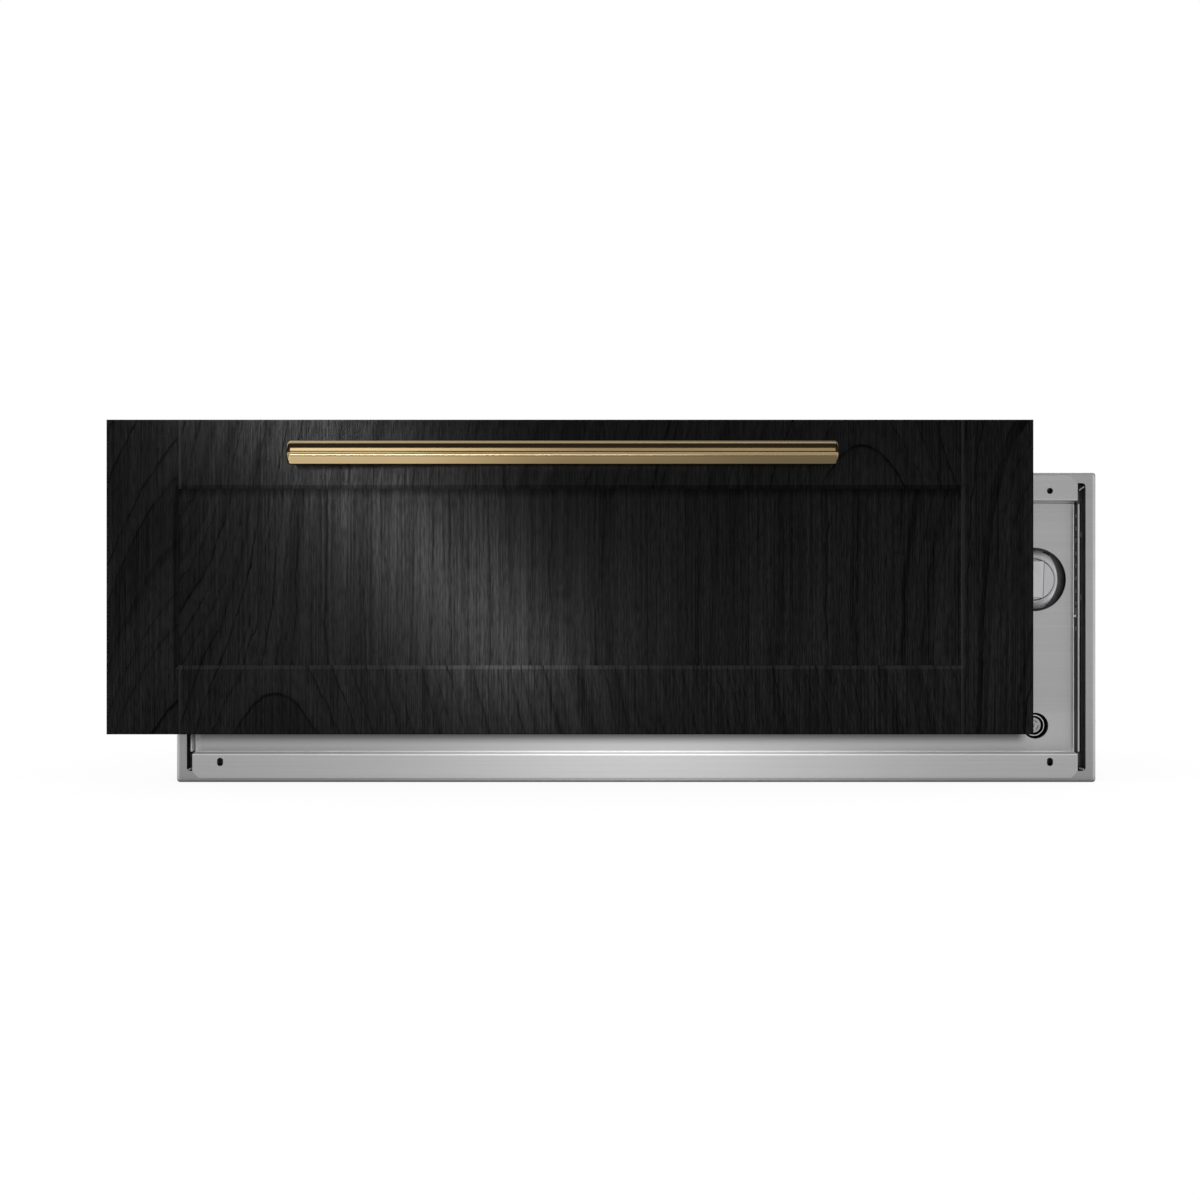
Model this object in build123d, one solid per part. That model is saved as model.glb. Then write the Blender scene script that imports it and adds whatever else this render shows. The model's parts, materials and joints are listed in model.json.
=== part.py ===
"""Built-in warming drawer, shown with its wooden front panel held off the drawer face.

Frame: X to the right seen from the front, Y into the cabinet, Z up, millimetres. The origin is on
the underside of the case, midway across, in the plane of the cabinet's face (y = 0). The drawer is
closed and the wooden panel is at its offset place; it slides down and to the right to its mounted
place. Every function below makes one piece, or one set of identical pieces.
"""
import math
import os

from build123d import *

# ---------------------------------------------------------------- driving dimensions, mm
INCH = 25.4
WIDTH = 29.875 * INCH           # surround and wooden panel share the nominal 30 inch width
HALF = WIDTH / 2

SHEET = 1.0                     # outer case sheet
CASE_HALF = 361.0
CASE_HEIGHT = 235.0
CASE_BACK = 545.0
RIM_T = 1.5                     # flange that stops against the cabinet face
EDGE_FLANGE = 12.0              # rear edge flange of the side sheets

SURROUND_LOW = -10.0            # trim ring round the drawer front
SURROUND_HIGH = 245.4
SURROUND_FRONT = -22.0
SURROUND_SKIN = 1.2
SURROUND_ROUND = 1.6
SURROUND_CORNER = 2.6
OPENING_HALF = 371.1
OPENING_LOW = -0.8
OPENING_HIGH = 236.9

SEAL_IN = 366.0                 # rubber strips at both sides of the drawer front
SEAL_OUT = 370.0
SEAL_FRONT = -4.0

LINER_HALF = 316.0              # heated cavity
LINER_LOW = 22.0
LINER_HIGH = 206.0
LINER_FRONT = 47.0
LINER_BACK = 515.0
LINER_SKIN = 0.8

PLATE_SKIN = 1.2                # dished stainless plate of the drawer front
PLATE_FRONT = -23.7
DISH_FRONT = -5.7
PLATE_X = -1.0                  # the plate sits this far left of the middle
PLATE_HALF = 365.3
PLATE_LOW = -6.5
PLATE_HIGH = 243.3
DISH_HALF = 365.4
FOLD_LOW = 13.5                 # where the flanges turn into the dish
FOLD_HIGH = 222.1
DISH_LOW = 14.3
DISH_HIGH = 220.5
BEND = 0.6                      # inner radius of the folds
WALL_BEND = 0.9                 # and of those at the side walls
RELIEF = 1.0                    # the side walls stop this far from the dish's ends
CUT_LOW = (5.2, 5.6)            # cut corners of the flanges, along x and z
CUT_HIGH = (6.2, 6.9)
FIX_X = 342.4                   # holes for the wooden panel's screws
FIX_HIGH = 230.4
FIX_LOW = 6.8
FIX_R = 2.5
FIX_SLOT = 6.8

BOX_HALF = 359.0                # pan behind the plate
BOX_LOW = 15.0
BOX_HIGH = 219.5
BOX_BACK = 44.0
BOX_SKIN = 0.8
BAY_X = 298.0                   # the pan's insulation ends here and the controls begin

GASKET = (338.0, 16.0, 218.0)   # half width, low z and high z of the seal round the tub
GASKET_BAND = 6.0
GASKET_T = 1.6

TUB_HALF = 302.5                # drawer tub
TUB_LOW = 40.0
TUB_HIGH = 190.0
TUB_BACK = 500.0
TUB_SKIN = 1.0
TUB_CORNER = 10.0
TUB_RIM = 5.5

SLIDE_Z = 120.0                 # telescopic slides
SLIDE_SKIN = 1.2
SLIDE_STEPS = (22.5, 19.8, 17.1)
SLIDE_START = 50.0
SLIDE_LENGTH = 450.0

KNOB_X = 331.0                  # temperature control
KNOB_Z = 157.5
WELL_R = 26.5
WELL_SKIN = 0.6
WELL_BACK = 12.0
BOWL_HOLE_R = 17.6              # bright bowl round the knob
BOWL_RIM_R = 26.4
BOWL_FLARE = 8.1
BOWL_DEPTH = 5.2
BOWL_SKIN = 0.6
KNOB_R = 16.8
KNOB_FRONT = -6.4
KNOB_DEPTH = 16.4
SHAFT_FRONT = 4.0
GRIP = (12.4, 31.0)
GRIP_FRONT = -19.5
GRIP_TURN = 2.0                 # degrees; the knob stands a little past upright
SHAFT_R = 3.0
THERMOSTAT_HALF = 18.0
THERMOSTAT_BACK = 36.0
RUNNING = 0.05                  # radial clearance of a running fit

BUTTON_X = 332.0                # power button, set deep in its hole
BUTTON_Z = 35.9
BUTTON_WELL_R = 10.8
BUTTON_WELL_BACK = 14.0
COLLAR_R = 9.1
COLLAR_IN_R = 8.0
COLLAR_FRONT = 3.0
COLLAR_STEP = 9.0               # from here back the collar guides the button
BUTTON_R = 6.8
BUTTON_FRONT = 5.5
BUTTON_BACK = 20.0
LENS_R = 4.7
LENS_PROUD = 0.6
LENS_POCKET = 4.0
STEM_R = 2.5
STEM_BACK = 29.0
SWITCH_FRONT = 25.0
SWITCH_BACK = 42.0

VENT_COUNT = 10                 # humidity vent in the right wall of the dish
VENT_TOP = 210.1
VENT_PITCH = 10.36
VENT_SLOT = (5.0, 3.3)          # along Y and Z
VENT_Y = -14.3
VENT_TRAVEL = 5.2
VENT_GAP = 0.4                  # between the dish wall and the sliding strip
VENT_TAB_SLOT = 8               # counted from the top, from 0

PANEL_H = 257.7                 # wooden front panel
PANEL_T = 19.0
PANEL_BACK = -24.1
PANEL_X = -54.5                 # centre of the panel at its offset place
PANEL_Z = 159.2
STILE = 59.0
RAIL = 56.5
BEVEL = 3.0
EDGE = 0.6                      # chamfer round the panel's front
EASE = 0.8                      # side of the eased joint edges
SUNK = 6.0                      # how far the centre panel lies behind the frame's face
CENTRE_T = 6.5
TONGUE = 8.0
MOUNTED_Z = 119.4               # centre of the panel on the drawer; there its x is 0

BAR_R = 9.7                     # brass bar handle
BAR_LENGTH = 444.0
BAR_X = -59.9
BAR_Y = -81.0
BAR_Z = 259.1
BAR_END_ROUND = 3.4
POST_R = 6.0
POST_SPACING = 320.0
HANDLE_SCREW_R = 2.4

PANEL_FRONT = PANEL_BACK - PANEL_T
DISH_BACK = DISH_FRONT + PLATE_SKIN
VENT_ZS = [VENT_TOP - i * VENT_PITCH for i in range(VENT_COUNT)]
POST_XS = (BAR_X - POST_SPACING / 2, BAR_X + POST_SPACING / 2)


# ---------------------------------------------------------------- shape helpers
def block(x0, x1, y0, y1, z0, z1):
    """A box given by its lowest and highest corner."""
    middle = Pos((x0 + x1) / 2, (y0 + y1) / 2, (z0 + z1) / 2)
    return middle * Box(x1 - x0, y1 - y0, z1 - z0)


def slab(x0, x1, y0, y1, z0, z1, radius):
    """A box whose four edges along Y are rounded."""
    middle = Pos((x0 + x1) / 2, (z0 + z1) / 2)
    return extrude(Plane.XZ.offset(-y1) * middle * RectangleRounded(x1 - x0, z1 - z0, radius), y1 - y0)


def rod(x, z, radius, y0, y1):
    """A cylinder along Y."""
    return extrude(Plane.XZ.offset(-y1) * Pos(x, z) * Circle(radius), y1 - y0)


def pipe(x, z, inner, outer, y0, y1):
    """A tube along Y."""
    return rod(x, z, outer, y0, y1) - rod(x, z, inner, y0 - 1, y1 + 1)


def ring(outer, inner, y0, y1):
    """A flat rectangular ring; outer and inner are half width, low z and high z."""
    body = block(-outer[0], outer[0], y0, y1, outer[1], outer[2])
    return body - block(-inner[0], inner[0], y0 - 1, y1 + 1, inner[1], inner[2])


def edges_along_x(shape, places):
    """The edges along X at the given (y, z) places."""
    found = []
    for edge in shape.edges().filter_by(Axis.X):
        at = edge.center()
        if any(math.dist((at.Y, at.Z), place) < 0.01 for place in places):
            found.append(edge)
    return found


def both_sides(piece):
    """A piece and its mirror image on the other side of the drawer."""
    return piece, mirror(piece, Plane.YZ)


def group(pieces):
    """Separate solids kept together in one node."""
    return Compound(children=[solid for piece in pieces for solid in piece.solids()])


# ---------------------------------------------------------------- case and cavity
SIDE_HOLE_Y = 25.0              # holes for the screws into the cabinet's sides
SIDE_HOLE_ZS = (60.0, 175.0)
SIDE_HOLE_R = 2.5
BACK_SCREW_ZS = (35.0, 117.5, 200.0)
BACK_SCREW_X = 354.0
SCREW_R = 1.8
HEAD_R = 3.8
HEAD_T = 1.8
HOLE_PLAY = 0.1

JUNCTION = (200.0, 300.0, 40.0, 130.0)      # x and z limits of the junction box
JUNCTION_BACK = 580.0
JUNCTION_SKIN = 1.2
PASS_R = 9.0                                # hole for the wires into the junction box
TERMINALS_AT = (260.0, 63.0)                # terminal block in the junction box
TERMINALS_HALF = (27.0, 13.0)
TERMINALS_DEPTH = 14.0
TERMINAL_PITCH = 17.0
GLAND_Z = 62.0
GLAND_Y = 562.0
GLAND_R = 4.5
GLAND_OUT = 8.0
GLAND_LENGTH = 18.0

ELEMENT_R = 3.25
ELEMENT_Z = 30.0
ELEMENT_BEND = 30.0
ELEMENT_END = 535.0
ELEMENT_PIN = (1.5, 6.0)        # radius and length of the terminal pins
ELEMENT_LEG = 40.0              # the element's corners, as x or y of its straight runs
ELEMENT_OUTER = 240.0
ELEMENT_INNER = 120.0
ELEMENT_FRONT = 110.0
ELEMENT_REAR = 450.0
ELEMENT_TURN = 380.0
SADDLE = (14.0, 6.0)            # half sizes of a saddle's foot
CUTOUT_AT = (-200.0, 170.0)     # high-limit thermostat on the cavity's rear wall
CUTOUT_R = 8.0
SADDLE_YS = {ELEMENT_OUTER: 280.0, ELEMENT_INNER: 245.0}


def case_sheet(z0, front):
    return block(-CASE_HALF, CASE_HALF, front, CASE_BACK, z0, z0 + SHEET)


def case_side():
    """Right side sheet with its rear edge flange and the two cabinet screw holes."""
    inner = CASE_HALF - SHEET
    side = block(inner, CASE_HALF, -RIM_T, CASE_BACK, SHEET, CASE_HEIGHT - SHEET)
    edge = block(inner - EDGE_FLANGE, inner, CASE_BACK - 2 * SHEET, CASE_BACK - SHEET, SHEET,
                 CASE_HEIGHT - SHEET)
    side += edge
    for z in SIDE_HOLE_ZS:
        side -= Pos(CASE_HALF, SIDE_HOLE_Y, z) * Rot(0, 90, 0) * Cylinder(SIDE_HOLE_R, 4 * SHEET)
    for z in BACK_SCREW_ZS:
        side -= rod(BACK_SCREW_X, z, SCREW_R + HOLE_PLAY, CASE_BACK - 10, CASE_BACK)
    return side


def case_back():
    inner = CASE_HALF - SHEET
    sheet = block(-inner, inner, CASE_BACK - SHEET, CASE_BACK, SHEET, CASE_HEIGHT - SHEET)
    for z in BACK_SCREW_ZS:
        for hole in both_sides(rod(BACK_SCREW_X, z, SCREW_R + HOLE_PLAY, CASE_BACK - 5, CASE_BACK + 5)):
            sheet -= hole
    middle = (JUNCTION[0] + JUNCTION[1]) / 2
    return sheet - rod(middle, JUNCTION[3] - 2 * PASS_R, PASS_R, CASE_BACK - 5, CASE_BACK + 5)


def case_screws():
    """Six pan head screws that hold the back sheet to the side sheets' edge flanges."""
    screws = []
    for z in BACK_SCREW_ZS:
        shank = rod(BACK_SCREW_X, z, SCREW_R, CASE_BACK - 8, CASE_BACK)
        head = rod(BACK_SCREW_X, z, HEAD_R, CASE_BACK, CASE_BACK + HEAD_T)
        screws += both_sides(shank + head)
    return group(screws)


def case_flange():
    """Flat flange round the case mouth; its back face stops against the cabinet."""
    return ring((HALF, SURROUND_LOW, SURROUND_HIGH), (CASE_HALF, 0, CASE_HEIGHT), -RIM_T, 0)


def front_surround():
    """Folded trim ring: rounded outside, square opening, hollow from behind."""
    back = -RIM_T
    body = slab(-HALF, HALF, SURROUND_FRONT, back, SURROUND_LOW, SURROUND_HIGH, SURROUND_CORNER)
    front_edges = body.faces().sort_by(Axis.Y)[0].edges()
    body = fillet(front_edges, SURROUND_ROUND)
    body -= slab(-OPENING_HALF, OPENING_HALF, SURROUND_FRONT - 1, back + 1, OPENING_LOW, OPENING_HIGH, 3.0)
    skin = SURROUND_SKIN
    channel = ring((HALF - skin, SURROUND_LOW + skin, SURROUND_HIGH - skin),
                   (OPENING_HALF + skin, OPENING_LOW - skin, OPENING_HIGH + skin),
                   SURROUND_FRONT + SURROUND_ROUND + skin, back + 1)
    return body - channel


def side_seals():
    """Two rubber strips that close the slots beside the drawer front."""
    strip = block(SEAL_IN, SEAL_OUT, SEAL_FRONT, -RIM_T, 2 * SHEET, CASE_HEIGHT - 2 * SHEET)
    strip = fillet(strip.faces().sort_by(Axis.Y)[0].edges().filter_by(Axis.Z), 1.6)
    return group(both_sides(strip))


def cavity_front_ring():
    inner = CASE_HALF - SHEET
    return ring((inner, SHEET, CASE_HEIGHT - SHEET), (LINER_HALF, LINER_LOW, LINER_HIGH),
                LINER_FRONT - SHEET, LINER_FRONT)


def liner_sheet(z0):
    wide = LINER_HALF + LINER_SKIN
    return block(-wide, wide, LINER_FRONT, LINER_BACK, z0, z0 + LINER_SKIN)


def liner_side():
    return block(LINER_HALF, LINER_HALF + LINER_SKIN, LINER_FRONT, LINER_BACK, LINER_LOW, LINER_HIGH)


def element_legs(radius, y0, y1):
    return rod(-ELEMENT_LEG, ELEMENT_Z, radius, y0, y1), rod(ELEMENT_LEG, ELEMENT_Z, radius, y0, y1)


def liner_back():
    wide = LINER_HALF + LINER_SKIN
    sheet = block(-wide, wide, LINER_BACK, LINER_BACK + LINER_SKIN, LINER_LOW - LINER_SKIN,
                  LINER_HIGH + LINER_SKIN)
    for hole in element_legs(ELEMENT_R + HOLE_PLAY, LINER_BACK - 5, LINER_BACK + 5):
        sheet -= hole
    return sheet


def insulation_bottom():
    inner = CASE_HALF - SHEET
    return block(-inner, inner, LINER_FRONT, CASE_BACK - 2 * SHEET, SHEET, LINER_LOW - LINER_SKIN)


def insulation_wrap():
    """One mineral wool blanket over the top and both sides of the cavity."""
    inner = CASE_HALF - SHEET
    back = CASE_BACK - 2 * SHEET
    low = LINER_LOW - LINER_SKIN
    wool = block(-inner, inner, LINER_FRONT, back, low, CASE_HEIGHT - SHEET)
    wide = LINER_HALF + LINER_SKIN
    wool -= block(-wide, wide, LINER_FRONT - 1, back + 1, low - 1, LINER_HIGH + LINER_SKIN)
    for z in BACK_SCREW_ZS:
        for hole in both_sides(rod(BACK_SCREW_X, z, SCREW_R + 1, CASE_BACK - 12, CASE_BACK)):
            wool -= hole
    return wool


def insulation_back():
    wide = LINER_HALF + LINER_SKIN
    wool = block(-wide, wide, LINER_BACK + LINER_SKIN, CASE_BACK - 2 * SHEET, LINER_LOW - LINER_SKIN,
                 LINER_HIGH + LINER_SKIN)
    for hole in element_legs(ELEMENT_R + HOLE_PLAY, LINER_BACK, CASE_BACK):
        wool -= hole
    return wool


def heating_element():
    """Tubular element bent flat under the tub, with its two cold pins at the back."""
    half = [(-ELEMENT_LEG, ELEMENT_END), (-ELEMENT_LEG, ELEMENT_REAR), (-ELEMENT_OUTER, ELEMENT_REAR),
            (-ELEMENT_OUTER, ELEMENT_FRONT), (-ELEMENT_INNER, ELEMENT_FRONT),
            (-ELEMENT_INNER, ELEMENT_TURN)]
    route = half + [(-x, y) for x, y in reversed(half)]
    line = FilletPolyline([(x, y, ELEMENT_Z) for x, y in route], radius=ELEMENT_BEND)
    tube = sweep(Plane(line @ 0, z_dir=line % 0) * Circle(ELEMENT_R), path=line)
    pin_r, pin_length = ELEMENT_PIN
    for pin in element_legs(pin_r, ELEMENT_END, ELEMENT_END + pin_length):
        tube += pin
    return tube


def element_brackets():
    """Four saddles that hold the element off the cavity floor."""
    half_x, half_y = SADDLE
    saddles = []
    for x, y in SADDLE_YS.items():
        saddle = block(x - half_x, x + half_x, y - half_y, y + half_y, LINER_LOW, ELEMENT_Z - 1)
        saddle -= rod(x, ELEMENT_Z, ELEMENT_R + RUNNING, y - 2 * half_y, y + 2 * half_y)
        saddles += both_sides(saddle)
    return group(saddles)


def thermal_cutout():
    """Disc thermostat on the cavity's rear wall."""
    x, z = CUTOUT_AT
    disc = rod(x, z, CUTOUT_R, LINER_BACK - 7, LINER_BACK - 1)
    ears = block(x - 2 * CUTOUT_R, x + 2 * CUTOUT_R, LINER_BACK - 1, LINER_BACK, z - 5, z + 5)
    return disc + ears


def junction_box():
    """Open-backed box for the supply wires, with a wire hole towards the case."""
    x0, x1, z0, z1 = JUNCTION
    skin = JUNCTION_SKIN
    shell = block(x0, x1, CASE_BACK, JUNCTION_BACK - skin, z0, z1)
    shell -= block(x0 + skin, x1 - skin, CASE_BACK + skin, JUNCTION_BACK, z0 + skin, z1 - skin)
    shell -= rod((x0 + x1) / 2, z1 - 2 * PASS_R, PASS_R, CASE_BACK - 5, CASE_BACK + 5)
    return shell - Pos(x0, GLAND_Y, GLAND_Z) * Rot(0, 90, 0) * Cylinder(GLAND_OUT + HOLE_PLAY, 6)


def junction_cover():
    x0, x1, z0, z1 = JUNCTION
    return block(x0, x1, JUNCTION_BACK - JUNCTION_SKIN, JUNCTION_BACK, z0, z1)


def terminal_block():
    """Three-way porcelain block inside the junction box."""
    x, z = TERMINALS_AT
    half_x, half_z = TERMINALS_HALF
    front = CASE_BACK + JUNCTION_SKIN
    back = front + TERMINALS_DEPTH
    body = block(x - half_x, x + half_x, front, back, z - half_z, z + half_z)
    for i in (-1, 0, 1):
        at = x + i * TERMINAL_PITCH
        body -= block(at - 6, at + 6, back - 6, back + 1, z - half_z + 3, z + half_z - 3)
    return body


def cable_gland():
    """Strain relief for the supply cable: a hollow nut through the junction box's side."""
    x0 = JUNCTION[0]
    body = Pos(x0, GLAND_Y, GLAND_Z) * Rot(0, 90, 0) * Cylinder(GLAND_OUT, GLAND_LENGTH)
    nut = Pos(x0 - 3.5, GLAND_Y, GLAND_Z) * Rot(0, 90, 0) * extrude(RegularPolygon(11, 6), 3, both=True)
    bore = Pos(x0, GLAND_Y, GLAND_Z) * Rot(0, 90, 0) * Cylinder(GLAND_R, 2 * GLAND_LENGTH)
    return body + nut - bore


BRACKET_HALF = 50.0             # anti-tip bracket at the foot of the case back
BRACKET_T = 2.0
BRACKET_DEPTH = 30.0
BRACKET_HOLE = (30.0, 563.0, 2.75)


def anti_tip_bracket():
    hole_x, hole_y, hole_r = BRACKET_HOLE
    foot = block(-BRACKET_HALF, BRACKET_HALF, CASE_BACK, CASE_BACK + BRACKET_DEPTH, 0, BRACKET_T)
    leg = block(-BRACKET_HALF, BRACKET_HALF, CASE_BACK, CASE_BACK + BRACKET_T, 0, 34)
    body = foot + leg
    for x in (-hole_x, hole_x):
        body -= Pos(x, hole_y, 0) * Cylinder(hole_r, 10)
    return body


# ---------------------------------------------------------------- slides
def channel(web_x, tip_x, half_height, y0, y1):
    """A C channel along Y on the right side: web at web_x, its two lips reaching tip_x."""
    low = min(web_x, tip_x)
    high = max(web_x, tip_x)
    inside = (web_x + SLIDE_SKIN, high + 1) if web_x < tip_x else (low - 1, web_x - SLIDE_SKIN)
    body = block(low, high, y0, y1, SLIDE_Z - half_height, SLIDE_Z + half_height)
    hollow = half_height - SLIDE_SKIN
    return body - block(inside[0], inside[1], y0 - 1, y1 + 1, SLIDE_Z - hollow, SLIDE_Z + hollow)


def slide_outer():
    end = SLIDE_START + SLIDE_LENGTH
    return channel(LINER_HALF, LINER_HALF - 11.0, SLIDE_STEPS[0], SLIDE_START, end)


def slide_middle():
    end = SLIDE_START + SLIDE_LENGTH
    return channel(LINER_HALF - 2.6, LINER_HALF - 11.0, SLIDE_STEPS[1], SLIDE_START + 3, end - 7)


def slide_inner():
    end = SLIDE_START + SLIDE_LENGTH
    return channel(TUB_HALF, TUB_HALF + 8.0, SLIDE_STEPS[2], SLIDE_START, end)


# ---------------------------------------------------------------- drawer
def plate_sheet():
    """The plate's flanges and dish floor, folded from one sheet."""
    front = [(PLATE_FRONT, PLATE_LOW), (PLATE_FRONT, FOLD_LOW), (DISH_FRONT, DISH_LOW),
             (DISH_FRONT, DISH_HIGH), (PLATE_FRONT, FOLD_HIGH), (PLATE_FRONT, PLATE_HIGH)]
    flange_back = PLATE_FRONT + PLATE_SKIN
    lean = 0.1                  # the walls lean, so their backs lie this much nearer the middle
    back = [(flange_back, PLATE_LOW), (flange_back, FOLD_LOW - PLATE_SKIN + lean),
            (DISH_BACK, DISH_LOW - PLATE_SKIN + lean), (DISH_BACK, DISH_HIGH + PLATE_SKIN - lean),
            (flange_back, FOLD_HIGH + PLATE_SKIN - lean), (flange_back, PLATE_HIGH)]
    profile = make_face(Polyline([(0, y, z) for y, z in front + back[::-1]], close=True))
    sheet = extrude(profile, PLATE_HALF, dir=(1, 0, 0), both=True)
    outer_folds = [front[1], front[4], back[2], back[3]]
    inner_folds = [front[2], front[3], back[1], back[4]]
    sheet = fillet(edges_along_x(sheet, outer_folds), BEND + PLATE_SKIN)
    return fillet(edges_along_x(sheet, inner_folds), BEND)


def plate_wall():
    """The wall at the dish's right end, with the strip of floor that it is bent from."""
    z0 = DISH_LOW + RELIEF
    z1 = DISH_HIGH - RELIEF
    outside = DISH_HALF + PLATE_SKIN
    body = block(DISH_HALF, outside, PLATE_FRONT, DISH_BACK, z0, z1)
    body += block(PLATE_HALF - 4 * PLATE_SKIN, outside, DISH_FRONT, DISH_BACK, z0, z1)
    for x, y, radius in ((DISH_HALF, DISH_FRONT, WALL_BEND), (outside, DISH_BACK, WALL_BEND + PLATE_SKIN)):
        edges = body.edges().filter_by(Axis.Z)
        corner = [e for e in edges if math.dist((e.center().X, e.center().Y), (x, y)) < 0.01]
        body = fillet(corner, radius)
    return body


def front_plate():
    """Dished plate: flanges at the top and bottom, a sunk field between, a wall at each side."""
    plate = plate_sheet()
    through = 2 * (DISH_BACK - PLATE_FRONT)
    for z, cut_x, step in ((PLATE_LOW, *CUT_LOW), (PLATE_HIGH, CUT_HIGH[0], -CUT_HIGH[1])):
        for side in (-1, 1):
            corner = [(side * (PLATE_HALF - cut_x), z), (side * PLATE_HALF, z),
                      (side * PLATE_HALF, z + step)]
            face = make_face(Polyline([(x, PLATE_FRONT, zz) for x, zz in corner], close=True))
            plate -= extrude(face, through, dir=(0, 1, 0), both=True)
    for piece in both_sides(plate_wall()):
        plate += piece
    for x in (-FIX_X, FIX_X):
        plate -= rod(x, FIX_HIGH, FIX_R, PLATE_FRONT - 5, PLATE_FRONT + 5)
        low = slab(x - FIX_R, x + FIX_R, PLATE_FRONT - 5, PLATE_FRONT + 5, FIX_LOW - FIX_SLOT / 2,
                   FIX_LOW + FIX_SLOT / 2, FIX_R - 0.05)
        plate -= low
    plate -= vent_openings(DISH_HALF - 1, DISH_HALF + PLATE_SKIN + 0.2)
    plate = Pos(PLATE_X, 0, 0) * plate
    plate -= rod(KNOB_X, KNOB_Z, WELL_R, DISH_FRONT - 5, DISH_BACK + 5)
    return plate - rod(BUTTON_X, BUTTON_Z, BUTTON_WELL_R, DISH_FRONT - 5, DISH_BACK + 5)


def vent_openings(x0, x1):
    """The row of vent slots; the one that the tab passes is longer by the slider's travel."""
    long_y, tall = VENT_SLOT
    slots = []
    for i, z in enumerate(VENT_ZS):
        extra = VENT_TRAVEL if i == VENT_TAB_SLOT else 0
        slots.append(block(x0, x1, VENT_Y - long_y / 2, VENT_Y + long_y / 2, z - tall / 2,
                           z + tall / 2 + extra))
    return group(slots)


def vent_slider():
    """Slotted strip outside the dish wall, with a tab that reaches through to the front side.

    It covers the wall's slots at rest and uncovers them when it is pushed up.
    """
    x0 = PLATE_X + DISH_HALF + PLATE_SKIN + VENT_GAP
    long_y, tall = VENT_SLOT
    strip = block(x0, x0 + 1, VENT_Y - long_y / 2 - 1.6, VENT_Y + long_y / 2 + 1.6,
                  VENT_ZS[-1] - VENT_TRAVEL - 3, VENT_ZS[0] + 5)
    slots = [z - VENT_TRAVEL for i, z in enumerate(VENT_ZS) if i != VENT_TAB_SLOT]
    for z in slots:
        strip -= block(x0 - 1, x0 + 2, VENT_Y - long_y / 2, VENT_Y + long_y / 2, z - tall / 2,
                       z + tall / 2)
    tab_z = VENT_ZS[VENT_TAB_SLOT]
    reach = PLATE_X + DISH_HALF - 2.2
    side = [(x0, tab_z - 1.2), (x0, tab_z + 1.2), (reach, tab_z + 0.5), (reach, tab_z - 0.5)]
    face = make_face(Polyline([(x, VENT_Y, z) for x, z in side], close=True))
    return strip + extrude(face, 1.9, dir=(0, 1, 0), both=True)


def vent_guides():
    """Two bridges that hold the sliding strip against the dish wall."""
    x0 = PLATE_X + DISH_HALF + PLATE_SKIN
    half_y = VENT_SLOT[0] / 2 + 1.6
    bridges = []
    for z in (VENT_ZS[1] - VENT_PITCH / 2, VENT_ZS[6] - VENT_PITCH / 2):
        bridge = block(x0, x0 + 2.8, VENT_Y - half_y - 1.2, VENT_Y + half_y + 1.2, z - 2.2, z + 2.2)
        bridge -= block(x0 - 1, x0 + 2, VENT_Y - half_y - 0.4, VENT_Y + half_y + 0.4, z - 5, z + 5)
        bridges.append(bridge)
    return group(bridges)


TUB_SCREWS = [(-250.0, 170.0), (250.0, 170.0), (-250.0, 60.0), (250.0, 60.0)]
BULB_X = 309.4
BULB_Z = 160.0
CAPILLARY_R = 1.0


def front_box():
    """Pan behind the plate: sides and back, open to the plate."""
    skin = BOX_SKIN
    pan = block(-BOX_HALF, BOX_HALF, DISH_BACK, BOX_BACK, BOX_LOW, BOX_HIGH)
    pan -= block(-BOX_HALF + skin, BOX_HALF - skin, DISH_BACK - 1, BOX_BACK - skin, BOX_LOW + skin,
                 BOX_HIGH - skin)
    for x, z in TUB_SCREWS:
        pan -= rod(x, z, SCREW_R + HOLE_PLAY, BOX_BACK - 5, BOX_BACK + 5)
    return pan - rod(BULB_X, BULB_Z, CAPILLARY_R + 1, BOX_BACK - 5, BOX_BACK + 5)


def front_insulation():
    wool = block(-BOX_HALF + BOX_SKIN, BAY_X, DISH_BACK, BOX_BACK - BOX_SKIN, BOX_LOW + 3, BOX_HIGH - 3)
    for x, z in TUB_SCREWS:
        wool -= rod(x, z, SCREW_R + 1, BOX_BACK - 12, BOX_BACK)
    return wool


def drawer_gasket():
    """Flat seal round the tub that closes on the cavity's front ring."""
    wide, low, high = GASKET
    inner = (wide - GASKET_BAND, low + GASKET_BAND, high - GASKET_BAND)
    return ring(GASKET, inner, BOX_BACK, BOX_BACK + GASKET_T)


def drawer_tub():
    """Deep-drawn tub with a turned-out rim."""
    depth = TUB_BACK - BOX_BACK
    centre = Pos(0, (TUB_BACK + BOX_BACK) / 2)
    skin = TUB_SKIN
    outer = extrude(Plane.XY.offset(TUB_LOW) * centre * RectangleRounded(2 * TUB_HALF, depth, TUB_CORNER),
                    TUB_HIGH - TUB_LOW)
    outer = fillet(outer.faces().sort_by(Axis.Z)[0].edges(), 5)
    inside = RectangleRounded(2 * (TUB_HALF - skin), depth - 2 * skin, TUB_CORNER - skin)
    hollow = extrude(Plane.XY.offset(TUB_LOW + skin) * centre * inside, TUB_HIGH - TUB_LOW)
    hollow = fillet(hollow.faces().sort_by(Axis.Z)[0].edges(), 4)
    rim = block(-TUB_HALF - TUB_RIM, TUB_HALF + TUB_RIM, BOX_BACK + TUB_CORNER + 2, TUB_BACK + TUB_RIM,
                TUB_HIGH - skin, TUB_HIGH)
    rim = fillet(rim.edges().filter_by(Axis.Z), 4)
    tub = outer + rim - hollow
    for x, z in TUB_SCREWS:
        tub -= rod(x, z, SCREW_R + HOLE_PLAY, BOX_BACK - 5, BOX_BACK + 5)
    return tub


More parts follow.
